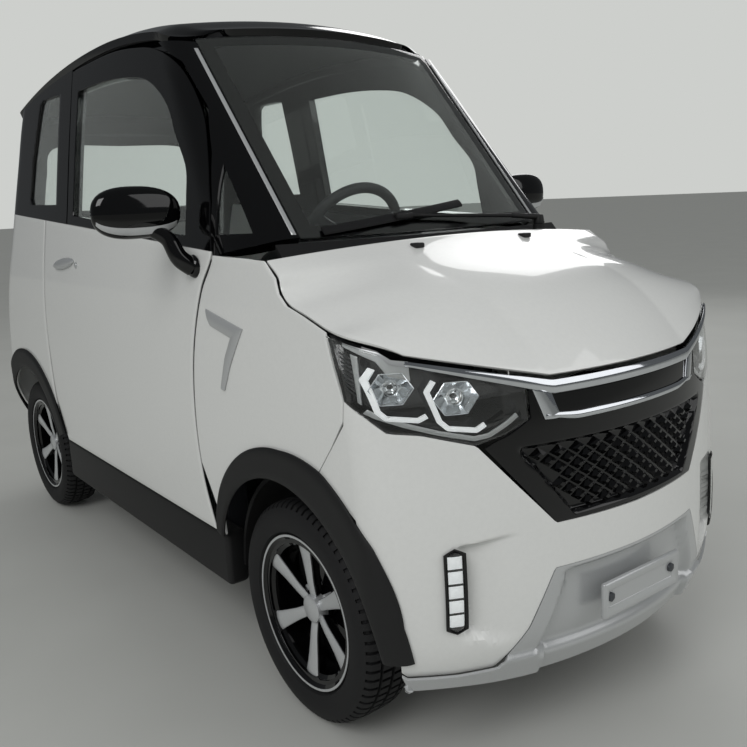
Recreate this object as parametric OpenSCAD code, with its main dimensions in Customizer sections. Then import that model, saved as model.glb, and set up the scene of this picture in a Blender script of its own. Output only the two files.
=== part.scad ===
// Enclosed mobility scooter: a small four-wheeled electric car with a closed two-door cabin.
// +X is forward, +Y is the vehicle's left, +Z is up. The wheels stand on z = 0.

/* [Overall] */
// Length over the bumpers
overall_len = 2730; // [2600:5:2900]
// Width of the body over the doors, without the mirrors
body_w = 1080; // [1040:5:1140]
// Height to the crown of the roof
overall_h = 1640; // [1610:5:1700]
// From the front axle to the front of the bumper
front_overhang = 505; // [495:5:525]
// From the rear axle to the back of the bumper
rear_overhang = 380; // [370:5:400]

/* [Wheels] */
// Rolling radius of a tyre
tyre_r = 247; // [240:1:252]
// Width of a tyre
tyre_w = 135; // [120:1:140]
// Radius of the rim's outer lip
rim_r = 174; // [165:1:180]
// Distance between the middles of the left and right tyres
wheel_track = 895; // [880:1:905]
// Radius of the stub axles that the wheels turn on
stub_r = 14; // [10:0.5:18]
// Number of spokes in a rim
spoke_count = 6; // [5:1:7]
// Running clearance of a wheel on its stub axle
stub_clear = 0.3; // [0.2:0.1:0.6]

/* [Body] */
// Height of the lower edge of the doors
sill_z = 345; // [330:1:360]
// Height of the waist line at the foot of the front pillar
belt_front_z = 1012; // [1005:1:1020]
// Height of the waist line at the rear corner
belt_rear_z = 1116; // [1105:1:1125]
// Gap around the doors, the bonnet and the tailgate
shut_gap = 7; // [6:0.5:9]
// Thickness of a door
door_t = 52; // [45:1:58]
// Thickness of the window frames and pillars
frame_t = 34; // [28:1:38]
// Thickness of the moulded outer panels
panel_t = 12; // [8:1:16]
// Thickness of the glass
glass_t = 5; // [4:0.5:6]
// Inner radius of the wheel arches
arch_r = 306; // [300:1:312]
// Width of the wheel arch trims
arch_trim_w = 74; // [60:1:80]
// How far the arch trims stand off the body
trim_proud = 10; // [6:1:14]

/* [Cabin] */
// Height of the cabin floor
floor_z = 248; // [240:1:260]
// Width of the driver's seat
seat_w = 430; // [400:5:460]
// Height of the seat cushions' tops
seat_z = 560; // [540:5:580]
// Diameter of the steering wheel
steering_d = 340; // [310:5:360]

/* [Hidden] */
$fn = 48;
hw = body_w / 2;
x_front = overall_len / 2;
x_rear = -overall_len / 2;
x_fa = x_front - front_overhang;
x_ra = x_rear + rear_overhang;
axle_z = tyre_r;
wheel_y = wheel_track / 2;
seam = 0.3;
// The upper cabin is drawn for this roof height and this length from the front axle to the rear of the door's
// window. Its lines stretch with both: upwards from the waist, and rearwards from behind the front pillar
DRAWN = [1640, 1300];
window_front = 530;
frame_rear_x = x_ra + 545;
rise = (overall_h - belt_rear_z) / (DRAWN[0] - belt_rear_z);
function up(z) = z < belt_rear_z ? z : belt_rear_z + (z - belt_rear_z) * rise;
function along(a) = x_fa - window_front
    - (a - window_front) * (x_fa - frame_rear_x - window_front) / (DRAWN[1] - window_front);

// Skin of the body
// Each row is one level of the skin: its height, the x of its nose, the radius of the nose in plan,
// the radius of the front corner, the x of its tail, the radius of the tail and of the rear corner.
XF = 1; RF = 2; CF = 3; XR = 4; RR = 5; CR = 6;
tail_r = 1600;
tail_corner = 250;
LOWER = [
    [190, x_front - 50, 900, 70, x_rear + 40, tail_r, 100],
    [270, x_front - 18, 900, 70, x_rear + 12, tail_r, 104],
    [sill_z, x_front - 12, 910, 75, x_rear + 2, tail_r, 108],
    [480, x_front - 14, 910, 80, x_rear + 1, tail_r, 112],
    [620, x_front - 20, 900, 85, x_rear + 8, tail_r, 120],
    [780, x_front - 34, 880, 100, x_rear + 20, tail_r, 165],
    [900, x_front - 60, 860, 150, x_rear + 30, tail_r, 205],
    [belt_front_z, x_front - 110, 840, 190, x_rear + 42, tail_r, 240],
    [belt_rear_z, x_front - 200, 800, 200, x_rear + 60, tail_r, tail_corner]];
screen_foot_x = x_front - 565;
screen_top_x = x_front - 1010;
screen_foot_z = 1040;
screen_top_z = up(1545);
screen_r = 1150;
screen_rake = (screen_top_x - screen_foot_x) / (screen_top_z - screen_foot_z);
function screen_x(z) = screen_foot_x + screen_rake * (z - screen_foot_z);
UPPER = [
    [960, screen_x(960), screen_r, 150, x_rear + 36, tail_r, tail_corner],
    [up(1120), screen_x(up(1120)), screen_r, 140, x_rear + 60, tail_r, tail_corner],
    [up(1300), screen_x(up(1300)), screen_r, 110, x_rear + 105, tail_r, tail_corner],
    [up(1450), screen_x(up(1450)), screen_r, 80, x_rear + 165, tail_r, tail_corner - 40],
    [up(1620), screen_x(up(1620)), screen_r, 60, x_rear + 250, tail_r, tail_corner - 60]];
// Half width of the skin at each height
WIDTH = [
    [190, hw - 30], [270, hw - 18], [sill_z, hw - 10], [480, hw - 3], [620, hw], [780, hw - 2], [900, hw - 12],
    [belt_front_z, hw - 27], [belt_rear_z, hw - 44], [up(1300), hw - 72], [up(1450), hw - 97],
    [up(1557), hw - 116], [up(1640), hw - 134]];

// Cubic interpolation in a table whose first column is the height
function row_of(T, z, i = 0) = i >= len(T) - 2 || z < T[i + 1][0] ? i : row_of(T, z, i + 1);
function row_grad(T, i) = let (a = max(i - 1, 0), b = min(i + 1,
    len(T) - 1)) (T[b] - T[a]) / (T[b][0] - T[a][0]);
function level(T, z) =
    let (i = row_of(T, z), p = T[i], q = T[i + 1], h = q[0] - p[0], t = min(max((z - p[0]) / h, 0), 1),
        m = row_grad(T, i) * h, n = row_grad(T, i + 1) * h)
    p * (2 * t ^ 3 - 3 * t ^ 2 + 1) + m * (t ^ 3 - 2 * t ^ 2 + t) + q * (3 * t ^ 2 - 2 * t ^ 3) +
        n * (t ^ 3 - t ^ 2);
function half_w(z) = level(WIDTH, z)[1];

// One level in plan, set in by d: nose arc, corner arc, straight side, corner arc, tail arc.
// Columns: middle of the nose arc, corner middle x and y, angle where they meet, both radii
function nose(T, z, d) =
    let (L = level(T, z), R = L[RF] - d, r = max(L[CF] - d, 1), w = half_w(z) - d, x0 = L[XF] - L[RF],
        cy = w - r,
        cx = x0 + sqrt((R - r) ^ 2 - cy ^ 2))
    [x0, cx, cy, atan2(cy, cx - x0), R, r];
function tail(T, z, d) =
    let (L = level(T, z), R = L[RR] - d, r = max(L[CR] - d, 1), w = half_w(z) - d, x0 = L[XR] + L[RR],
        cy = w - r,
        cx = x0 - sqrt((R - r) ^ 2 - cy ^ 2))
    [x0, cx, cy, atan2(cy, x0 - cx), R, r];
function arc_h(r, a) = sqrt(max(r ^ 2 - a ^ 2, 0));
// Half width of the skin at x and z
function skin_y(T, x, z, d = 0) =
    let (f = nose(T, z, d), b = tail(T, z, d))
    x > f[1] + f[5] * cos(f[3]) ? arc_h(f[4], x - f[0]) :
    x > f[1] ? f[2] + arc_h(f[5], x - f[1]) :
    x > b[1] ? half_w(z) - d :
    x > b[1] - b[5] * cos(b[3]) ? b[2] + arc_h(b[5], x - b[1]) : arc_h(b[4], x - b[0]);
// x of the front and of the rear skin at y and z
function front_x(T, y, z, d = 0) =
    let (f = nose(T, z, d), a = abs(y))
    a < f[4] * sin(f[3]) ? f[0] + arc_h(f[4], a) : f[1] + arc_h(f[5], a - f[2]);
function rear_x(T, y, z, d = 0) =
    let (b = tail(T, z, d), a = abs(y))
    a < b[4] * sin(b[3]) ? b[0] - arc_h(b[4], a) : b[1] - arc_h(b[5], a - b[2]);
// Way round an end of the skin: 0 at the middle, 1 where the corner starts, 2 where the side starts, and on
// from there by the side run.
// The end is 1 for the nose and -1 for the tail.
side_run = 1000;
function end_arcs(T, end, z, d = 0) = end > 0 ? nose(T, z, d) : tail(T, z, d);
function round_y(T, end, y, z) =
    let (f = end_arcs(T, end, z), a = abs(y))
    a < f[4] * sin(f[3]) ? asin(a / f[4]) / f[3] : 1 + (asin(min((a - f[2]) / f[5], 1)) - f[3]) / (90 - f[3]);
function round_x(T, end, x, z) =
    let (f = end_arcs(T, end, z), c = end * (x - f[1]))
    c > f[5] * cos(f[3]) ? acos(min(end * (x - f[0]) / f[4], 1)) / f[3] :
    c > 0 ? 1 + (acos(c / f[5]) - f[3]) / (90 - f[3]) : 2 - c / side_run;
function around(T, end, t, z, d = 0) =
    let (f = end_arcs(T, end, z, d), s = sign(t), a = abs(t))
    a < 1 ? [f[0] + end * f[4] * cos(a * f[3]), s * f[4] * sin(a * f[3]), z] :
    a < 2 ? let (g = f[3] + (a - 1) * (90 - f[3])) [f[1] + end * f[5] * cos(g), s * (f[2] +
        f[5] * sin(g)), z] :
    [f[1] - end * (a - 2) * side_run, s * (f[2] + f[5]), z];

// Curves through a few points, and patches between four curves
function lerp(a, b, t) = a + (b - a) * t;
function bend(P, u) =
    let (n = len(P) - 1, i = min(floor(u * n), n - 1), t = u * n - i, a = P[max(i - 1, 0)], b = P[i],
        c = P[i + 1],
        d = P[min(i + 2, n)])
    b + (c - a) * t / 2 + (2 * a - 5 * b + 4 * c - d) * t ^ 2 / 2 + (3 * b - a - 3 * c + d) * t ^ 3 / 2;
function straight(P, u) = let (n = len(P) - 1, i = min(floor(u * n), n - 1)) lerp(P[i], P[i + 1], u * n - i);
function patch(lo, hi, left, right, u, v) =
    lerp(lo(u), hi(u), v) + lerp(left(v), right(v), u)
    - lerp(lerp(lo(0), lo(1), u), lerp(hi(0), hi(1), u), v);
function grid(nu, nv, f) = [for (j = [0 : nv]) [for (i = [0 : nu]) f(i / nu, j / nv)]];
function flat_list(G) = [for (r = G) each r];
function quad(a, b, c, d) = [[a, b, c], [a, c, d]];

// A closed mesh, its faces turned outwards by the sign of its volume
module closed(P, F) {
    volume = [for (f = F) P[f[0]] * cross(P[f[1]], P[f[2]])] * [for (f = F) 1];
    polyhedron(P, volume > 0 ? [for (f = F) [f[0], f[2], f[1]]] : F);
}
// A closed panel between two grids of points, outside and inside
module sheet(G, H) {
    nv = len(G) - 1;
    nu = len(G[0]) - 1;
    k = (nu + 1) * (nv + 1);
    id = function (i, j) j * (nu + 1) + i;
    F = concat(
        [for (j = [0 : nv - 1], i = [0 : nu - 1]) each quad(id(i, j), id(i + 1, j), id(i + 1, j + 1),
            id(i, j + 1))],
        [for (j = [0 : nv - 1], i = [0 : nu - 1])
            each quad(k + id(i, j), k + id(i, j + 1), k + id(i + 1, j + 1), k + id(i + 1, j))],
        [for (i = [0 : nu - 1]) each quad(id(i, 0), k + id(i, 0), k + id(i + 1, 0), id(i + 1, 0))],
        [for (i = [0 : nu - 1]) each quad(id(i, nv), id(i + 1, nv), k + id(i + 1, nv), k + id(i, nv))],
        [for (j = [0 : nv - 1]) each quad(id(0, j), id(0, j + 1), k + id(0, j + 1), k + id(0, j))],
        [for (j = [0 : nv - 1]) each quad(id(nu, j), k + id(nu, j), k + id(nu, j + 1), id(nu, j + 1))]);
    closed(concat(flat_list(G), flat_list(H)), F);
}

// A closed frame: loops of points joined in turn, the last to the first
module frame(loops) {
    k = len(loops);
    m = len(loops[0]);
    id = function (a, i) (a % k) * m + i % m;
    F = [for (a = [0 : k - 1], i = [0 : m - 1])
        each quad(id(a, i), id(a, i + 1), id(a + 1, i + 1), id(a + 1, i))];
    closed(flat_list(loops), F);
}
function mean(P) = [for (c = [0 : 2]) [for (p = P) p[c]] * [for (p = P) 1] / len(P)];
// A closed bar: loops of points in a row, each end closed to its middle
module loft(loops) {
    k = len(loops);
    m = len(loops[0]);
    id = function (a, i) a * m + i % m;
    F = concat(
        [for (a = [0 : k - 2], i = [0 : m - 1]) each quad(id(a, i), id(a, i + 1), id(a + 1, i + 1),
            id(a + 1, i))],
        [for (i = [0 : m - 1]) [k * m, id(0, i + 1), id(0, i)]],
        [for (i = [0 : m - 1]) [k * m + 1, id(k - 1, i), id(k - 1, i + 1)]]);
    closed(concat(flat_list(loops), [mean(loops[0]), mean(loops[k - 1])]), F);
}
// Children as drawn for the left side, or mirrored to the right
module handed(side) {
    if (side > 0) children();
    else mirror([0, 1, 0]) children();
}
module both() {
    for (side = [1, -1]) handed(side) children();
}

// Lines that the panels share, in side view as [x, z]
roof_mid_x = x_fa - 1060;
roof_rear_x = x_ra - 190;
roof_half = hw - 122;
roof_t = 36;
arch_out = arch_r + arch_trim_w;
belt_front_x = x_fa - 150;
belt_rear_x = x_ra + 60;
function belt_z(x) = belt_front_z +
    (belt_rear_z - belt_front_z) * (belt_front_x - x) / (belt_front_x - belt_rear_x);
// Front edge of the door opening: height, x
DOOR_FRONT = [
    [sill_z - 60, x_fa - 325], [sill_z, x_fa - 333], [460, x_fa - 365], [580, x_fa - 377], [700, x_fa - 371],
    [825, x_fa - 349], [930, x_fa - 316], [belt_front_z, x_fa - 270], [up(1130), x_fa - 300], [up(1240),
        x_fa - 348]];
function door_front(z) = level(DOOR_FRONT, z)[1];
door_rear_x = x_ra + 315;
// Rear edge of the door opening, down to the edge of the rear arch trim
function door_rear(z) = max(door_rear_x, x_ra + arc_h(arch_out + shut_gap, z - axle_z));
// Upper edge of the door opening, from the front pillar back to the rear pillar
DOOR_TOP = [for (p = [
    [x_fa - 348, 1240], [x_fa - 415, 1349], [x_fa - 525, 1466], [along(636), 1518], [along(775), 1546],
    [along(985), 1564], [frame_rear_x, 1564]]) [p[0], min(up(p[1]), roof_under(p[0], roof_half))]];
screen_edge_y = 372;
function raised(P) = [for (p = P) [p[0], up(p[1])]];
function side_point(T, p, d) =
    let (end = p[0] > 0 ? 1 : -1) around(T, end, round_x(T, end, p[0], p[1]), p[1], d);
function ring4(T, A, B, t) = [
    [for (p = A) side_point(T, p, 0)], [for (p = B) side_point(T, p, 0)],
    [for (p = B) side_point(T, p, t)], [for (p = A) side_point(T, p, t)]];
module side_sheet(T, nu, nv, f, out, t) {
    P = grid(nu, nv, f);
    sheet([for (r = P) [for (p = r) side_point(T, p, -out)]], [for (r = P) [for (p = r) side_point(T, p, t)]]);
}
module end_sheet(T, end, nu, nv, f, out, t) {
    P = grid(nu, nv, f);
    sheet([for (r = P) [for (p = r) around(T, end, p[0], p[1], -out)]],
        [for (r = P) [for (p = r) around(T, end, p[0], p[1], t)]]);
}
module nose_sheet(nu, nv, f, out, t) {
    end_sheet(LOWER, 1, nu, nv, f, out, t);
}
module upright(x, y, z, r, h) {
    translate([x, y, z]) cylinder(r = r, h = h);
}
module crosswise(x, y, z, r, l) {
    translate([x, y, z]) rotate([-90, 0, 0]) cylinder(r = r, h = l);
}
module block(a, b) {
    translate(a) cube(b - a);
}

// Running gear
rail_y = 190;
rail_w = 50;
rail_z = 168;
rail_top = floor_z - 20;
beam_z = 455;
beam_half = 290;
beam_x = front_x(LOWER, beam_half, beam_z, panel_t) - 2.5;
module chassis_frame() {
    kick_x = x_ra + 330;
    kick_z = axle_z - 34 - seam;
    color("dimgray") union() {
        for (y = [-rail_y, rail_y]) {
            block([x_rear + 140, y - rail_w / 2, rail_z], [kick_x, y + rail_w / 2, kick_z]);
            block([kick_x, y - rail_w / 2, rail_z], [beam_x - 60, y + rail_w / 2, rail_top]);
            block([beam_x - 90, y - rail_w / 2, rail_z], [beam_x - 50, y + rail_w / 2, beam_z]);
        }
        block([x_rear + 140, -rail_y, rail_z], [x_rear + 200, rail_y, kick_z]);
        for (x = [kick_x, -60, x_fa - 330, x_fa - 60, x_front - 180])
            block([x, -rail_y, rail_z + 10], [x + 60, rail_y, rail_top]);
        block([beam_x - 90, -beam_half, beam_z - 20], [beam_x, beam_half, beam_z + 20]);
    }
}
tub_x = x_ra + 300;
deck_z = 400;
dash_x = x_fa - 240;
shelf_z = 900;
dash_half = 335;
sill_y = 462;
deck_half = 342;
tunnel_half = 225;
module floor_pan() {
    foot_x = x_fa - arch_r + 10;
    color("#2b2c2e") union() {
        block([tub_x, seam - sill_y, rail_top], [foot_x, sill_y - seam, floor_z]);
        block([foot_x, -tunnel_half, rail_top], [dash_x, tunnel_half, floor_z]);
        block([tub_x, seam - deck_half, rail_top], [tub_x + panel_t, deck_half - seam, deck_z]);
        block([x_rear + 130, seam - deck_half, deck_z - panel_t], [tub_x + panel_t, deck_half - seam, deck_z]);
        block([dash_x, -tunnel_half, rail_top], [dash_x + panel_t, tunnel_half, shelf_z]);
        block([dash_x, -dash_half, shelf_z - panel_t], [bonnet_pin_x + 20, dash_half, shelf_z]);
    }
}
battery_top = floor_z + 190;
module battery_pack() {
    color("#3a3d42") block([-180, -200, floor_z], [260, 200, battery_top]);
}
hub_y = wheel_y - 32;
stub_end_y = wheel_y + 24;
motor_r = 92;
module rear_axle() {
    color("#4b4e52") union() {
        crosswise(x_ra, -hub_y, axle_z, 34, 2 * hub_y);
        crosswise(x_ra, -stub_end_y, axle_z, stub_r, 2 * stub_end_y);
        crosswise(x_ra + 20, -150, axle_z, motor_r, 260);
        crosswise(x_ra, 105, axle_z, 62, 55);
    }
}
king_y = wheel_y - 52;
king_pin_r = 9;
low_joint_z = axle_z - 105;
high_joint_z = axle_z + 105;
module wishbone(notch) {
    inner_y = rail_y + rail_w / 2;
    linear_extrude(22) polygon([
        [x_fa - 110, inner_y], [x_fa - 110, inner_y + 30], [x_fa - 24, king_y - 24], [x_fa - 24, king_y + 16],
        [x_fa + 24, king_y + 16], [x_fa + 24, king_y - 24], [x_fa + 110, inner_y + 30], [x_fa + 110, inner_y],
        [x_fa + 70, inner_y], [x_fa, inner_y + notch], [x_fa - 70, inner_y]]);
}
module wishbones() {
    inner_y = rail_y + rail_w / 2;
    color("#3c3f43") both() union() {
        translate([0, 0, low_joint_z - 26]) wishbone(10);
        upright(x_fa, king_y, low_joint_z - 14, king_pin_r, 40);
        translate([0, 0, high_joint_z + 4]) wishbone(110);
        upright(x_fa, king_y, high_joint_z - 26, king_pin_r, 42);
        for (x = [x_fa - 110, x_fa + 70])
            block([x, inner_y, low_joint_z - 26], [x + 40, inner_y + 12, high_joint_z + 26]);
    }
}
module shock(x, y, z0, z1, r) {
    upright(x, y, z0, r * 0.45, z1 - z0);
    upright(x, y, z0 + 0.2 * (z1 - z0), r, (z1 - z0) * 0.5);
}
module shock_absorbers() {
    color("#202224") both() {
        shock(x_ra, 290, axle_z + 34, deck_z - panel_t, 26);
        shock(x_fa, rail_y + 63, low_joint_z - 4, axle_z + arch_r - 8 - seam, 17);
    }
}
module steering_rack() {
    color("#55585c") union() {
        crosswise(x_fa - 150, -200, rail_top + 22, 22, 400);
        crosswise(x_fa - 150, -245, rail_top + 22, 9, 490);
    }
}
// Hub carrier of a front wheel, between the two ball joints
module knuckle(side) {
    color("#5a5d61") handed(side) difference() {
        union() {
            upright(x_fa, king_y, low_joint_z, 24, high_joint_z - low_joint_z);
            crosswise(x_fa, king_y - 20, axle_z, 46, 60);
            crosswise(x_fa, king_y + 30, axle_z, stub_r, stub_end_y - king_y - 30);
        }
        upright(x_fa, king_y, low_joint_z - 1, king_pin_r + seam, 30);
        upright(x_fa, king_y, high_joint_z - 30, king_pin_r + seam, 40);
    }
}
module knuckle_right() { knuckle(-1); }
module knuckle_left() { knuckle(1); }

// A wheel at the origin, its axis along Y and its outer face towards +Y
barrel_r = rim_r - 22;
rim_lip_t = 6;
rim_half = tyre_w / 2 - 10;
module tyre_shape() {
    half = tyre_w / 2;
    bead = rim_half - rim_lip_t - seam;
    side = [
        [barrel_r + seam, bead], [rim_r + seam, bead], [rim_r + 6, half - 5], [rim_r + 34, half],
            [tyre_r - 16, half - 7],
        [tyre_r - 3, half - 22]];
    rotate([-90, 0, 0]) rotate_extrude() polygon(concat(
        [for (p = side) [p[0], -p[1]]], [[tyre_r, 0]], [for (i = [len(side) - 1 : -1 : 0]) side[i]]));
}
spoke_y0 = 12;
spoke_y1 = 34;
module rim_shape() {
    half = tyre_w / 2;
    rotate([-90, 0, 0]) difference() {
        union() {
            rotate_extrude() polygon([
                [barrel_r - 12, -rim_half], [rim_r, -rim_half], [rim_r, rim_lip_t - rim_half],
                [barrel_r, rim_lip_t - rim_half], [barrel_r, rim_half - rim_lip_t], [rim_r,
                    rim_half - rim_lip_t],
                [rim_r, rim_half], [rim_r - 12, rim_half], [barrel_r - 12, rim_half - 16]]);
            translate([0, 0, spoke_y0 - 4]) cylinder(r = 44, h = spoke_y1 - spoke_y0 + 4);
            for (i = [0 : spoke_count - 1]) rotate([0, 0, 360 / spoke_count * (i + 0.5)])
                translate([0, 0, spoke_y0]) linear_extrude(spoke_y1 - spoke_y0 - 4)
                    polygon([[20, -17], [barrel_r - 6, -27], [barrel_r - 6, 27], [20, 17]]);
        }
        translate([0, 0, -half]) cylinder(r = stub_r + stub_clear, h = half + spoke_y1 - 6);
    }
}
module at_wheel(x, side) {
    translate([x, side * wheel_y, axle_z]) handed(side) children();
}
module tyre_front_right() { color("#1b1b1c") at_wheel(x_fa, -1) tyre_shape(); }
module tyre_front_left() { color("#1b1b1c") at_wheel(x_fa, 1) tyre_shape(); }
module tyre_rear_right() { color("#1b1b1c") at_wheel(x_ra, -1) tyre_shape(); }
module tyre_rear_left() { color("#1b1b1c") at_wheel(x_ra, 1) tyre_shape(); }
module rim_front_right() { color("silver") at_wheel(x_fa, -1) rim_shape(); }
module rim_front_left() { color("silver") at_wheel(x_fa, 1) rim_shape(); }
module rim_rear_right() { color("silver") at_wheel(x_ra, -1) rim_shape(); }
module rim_rear_left() { color("silver") at_wheel(x_ra, 1) rim_shape(); }

// Inner wheel arches
module tub(x, inner_y, outer_y, wall, low) {
    r = arch_r + 2;
    translate([x, inner_y, axle_z]) rotate([-90, 0, 0]) difference() {
        cylinder(r = r, h = outer_y - inner_y);
        translate([0, 0, wall]) cylinder(r = r - 10, h = outer_y - inner_y + 2);
        translate([-r - 1, -low, -1]) cube([2 * r + 2, 2 * r, outer_y - inner_y + 2]);
    }
}
// The rear ones have an inner wall beside the deck, the front ones leave room to steer
module wheel_tubs() {
    color("#222325") both() {
        tub(x_ra, deck_half, hw - 124, 10, 50);
        tub(x_fa, tunnel_half + 3, hw - 60, -1, floor_z - axle_z);
    }
}
module side_sills() {
    color("#1c1c1d") both()
        block([x_ra + arch_r + 20, sill_y, rail_top - 30], [x_fa - arch_r - 6, hw - 20, sill_z - shut_gap]);
}

// Nose: bumper, skid panel, grille, lamps
bumper_end_x = x_fa + 330;
function ny(y, z) = [round_y(LOWER, 1, y, z), z];
function nx(x, z) = [round_x(LOWER, 1, x, z), z];
skid_top_z = 418;
skid_half = 220;
lip_top_z = 276;
lip_half = 330;
grille_low_z = 507;
grille_low_half = 216;
ARCH_FRONT = [nx(bumper_end_x, lip_top_z + 4), nx(bumper_end_x - 2, 400), nx(x_fa + 275, 520), nx(x_fa +
    150, 602)];
BUMPER_SPLIT = [nx(x_fa + 150, 602), nx(x_fa + 205, 668), nx(x_fa + 248, 727), nx(x_fa + 251, 765)];
BUMPER_END = concat(ARCH_FRONT, [for (i = [1 : 3]) BUMPER_SPLIT[i]]);
BUMPER_TOP = [
    nx(x_fa + 251, 765), ny(hw - 16, 738), ny(450, 704), ny(362, 676), ny(290, 590), ny(grille_low_half,
        grille_low_z),
    ny(110, grille_low_z - 2), ny(0, grille_low_z - 4)];
BUMPER_LOW = [
    nx(bumper_end_x, lip_top_z + 4), ny(hw - 60, lip_top_z + 2), ny(400, lip_top_z), ny(lip_half, lip_top_z),
    ny(275, lip_top_z + 70), ny(skid_half, skid_top_z), ny(110, skid_top_z), ny(0, skid_top_z)];
module nose_pair(nu, nv, low, high, ends, out, t) {
    f = function (u, v) let (a = 1 - abs(2 * u - 1), s = u < 0.5 ? -1 : 1)
        let (q = patch(function (w) straight(low, w), function (w) straight(high, w),
            function (w) straight(ends, w), function (w) lerp(low[len(low) - 1], high[len(high) - 1], w),
                a, v))
        [s * q[0], q[1]];
    nose_sheet(2 * nu, nv, f, out, t);
}
module front_bumper() {
    color("white") nose_pair(14, 6, BUMPER_LOW, BUMPER_TOP, BUMPER_END, 0, panel_t);
}
SKID_TOP = [for (p = BUMPER_LOW) [p[0], p[1] - seam]];
SKID_LOW = [
    nx(bumper_end_x, 212), ny(hw - 60, 208), ny(400, 203), ny(lip_half, 198), ny(275, 196), ny(skid_half, 195),
    ny(110, 195), ny(0, 195)];
module skid_panel() {
    color("silver") nose_pair(14, 4, SKID_LOW, SKID_TOP, [SKID_LOW[0], SKID_TOP[0]], 0, panel_t);
}
plate_z = 330;
plate_w = 300;
plate_h = 84;
plate_hole_gap = 198;
plate_hole_r = 4;
module plate_bracket() {
    seat_x = front_x(LOWER, 0, plate_z) + 2 * seam;
    color("silver") difference() {
        block([seat_x, -plate_w / 2, plate_z - plate_h / 2], [x_front, plate_w / 2, plate_z + plate_h / 2]);
        for (y = [-plate_hole_gap / 2, plate_hole_gap / 2])
            translate([seat_x - 20, y, plate_z]) rotate([0, 90, 0]) cylinder(r = plate_hole_r, h = 60);
    }
}
// Edges of the chrome bar along the nose
bar_mid_z = 779;
bar_t = 24;
bar_bend_y = 210;
function bar_top(y) = bar_mid_z + 0.235 * max(abs(y) - bar_bend_y, 0);
function bar_low(y) = bar_top(y) - bar_t + 0.06 * max(abs(y) - bar_bend_y, 0);
bar_half = 460;
// Height and half width of the grille frame, from the bumper up along the lamps to the chrome bar
GRILLE = [
    [grille_low_z + seam, grille_low_half - 1], [562, 261], [617, 306], [671, 349], [688, 306], [711, 258],
    [bar_low(0) - 0.8, 258]];
module grille_frame() {
    f = function (u, v) let (row = GRILLE[round(v * 6)], y = lerp(-row[1], row[1], u),
        z = v < 1 ? row[0] : bar_low(y) - 0.8) [sign(y) * round_y(LOWER, 1, y, z), z];
    color("#0c0c0d") nose_sheet(12, 6, f, 0, 16);
}
module grille_mesh() {
    color("#161617") for (r = [0 : 4], c = [-3 : 3]) {
        z = 540 + 24 * r;
        y = (c + (r % 2) / 2) * 62;
        if (abs(y) < 165 + 22 * r)
            translate([front_x(LOWER, y, z - 10) + seam, y, z]) rotate([0, 90, asin(y / level(LOWER, z)[RF])])
                linear_extrude(6, scale = 0.5) polygon([[-10, 0], [0, -27], [10, 0], [0, 27]]);
    }
}
module chrome_bars() {
    color("#d8dade") {
        nose_sheet(20, 2, function (u, v) let (y = lerp(-bar_half, bar_half, u))
            let (z = lerp(bar_low(y), bar_top(y), v)) [sign(y) * round_y(LOWER, 1, y, z), z], 6, 14);
    }
}
LAMP_LOW = concat([for (i = [0 : 3]) [BUMPER_TOP[i][0], BUMPER_TOP[i][1] + 1.2]], [ny(310, 690), ny(262,
    712)]);
LAMP_TOP = concat([nx(x_fa + 192, 878), nx(x_fa + 300, 851)],
    [for (y = [bar_half, 400, 330, 262]) ny(y, bar_low(y) - 1.6)]);
module lamp(out, t) {
    f = function (u, v) patch(function (w) straight(LAMP_LOW, w), function (w) straight(LAMP_TOP, w),
        function (w) lerp(LAMP_LOW[0], LAMP_TOP[0], w), function (w) lerp(LAMP_LOW[5], LAMP_TOP[5], w), u, v);
    nose_sheet(10, 5, f, out, t);
}
module headlamps() {
    color("#1d1e20") both() lamp(-6 - seam, 45);
}
module lamp_lenses() {
    color("#dfe6ea") both() {
        lamp(0, 6);
        nose_sheet(2, 4, function (u, v) ny(lerp(396, 428, u), lerp(332, 484, v)), 9, -seam);
    }
}

// Sides: fenders, arch trims, quarter panels
HOOD_SIDE = [[x_fa - 45, 1006], [x_fa + 25, 952], [x_fa + 110, 910], [x_fa + 188, 884]];
module fenders() {
    LOW = [
        [x_fa - 292, sill_z], [x_fa - 284, 426], [x_fa - 245, 493], [x_fa - 176, 556], [x_fa - 82, 601],
        [x_fa + 28, 617], [x_fa + 110, 615], [x_fa + 147, 602]];
    TOP = concat([[door_front(belt_front_z), belt_front_z], [x_fa - 200, belt_front_z - 2], [x_fa - 120,
        belt_front_z - 3]],
        HOOD_SIDE);
    RIGHT = [
        [x_fa + 147, 602], [x_fa + 202, 668], [x_fa + 245, 727], [x_fa + 248, 765], [x_fa + 217, 825],
        [x_fa + 188, 884]];
    f = function (u, v) patch(function (w) bend(LOW, w), function (w) straight(TOP, w),
        function (w) let (z = lerp(sill_z, belt_front_z, w)) [lerp(LOW[0][0], door_front(z), min(w * 4,
            1)), z],
        function (w) straight(RIGHT, w), u, v);
    color("white") both() side_sheet(LOWER, 14, 10, f, 0, panel_t);
}
module fender_vents() {
    OUTER = [[x_fa - 292, 893], [x_fa - 118, 862], [x_fa - 176, 775], [x_fa - 208, 716]];
    INNER = [[x_fa - 268, 856], [x_fa - 172, 838], [x_fa - 200, 790], [x_fa - 226, 720]];
    color("#e6e7e9") both()
        side_sheet(LOWER, 6, 1, function (u, v) lerp(straight(OUTER, u), straight(INNER, u), v), 5, -seam);
}
trim_gap = 2.7;
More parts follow.
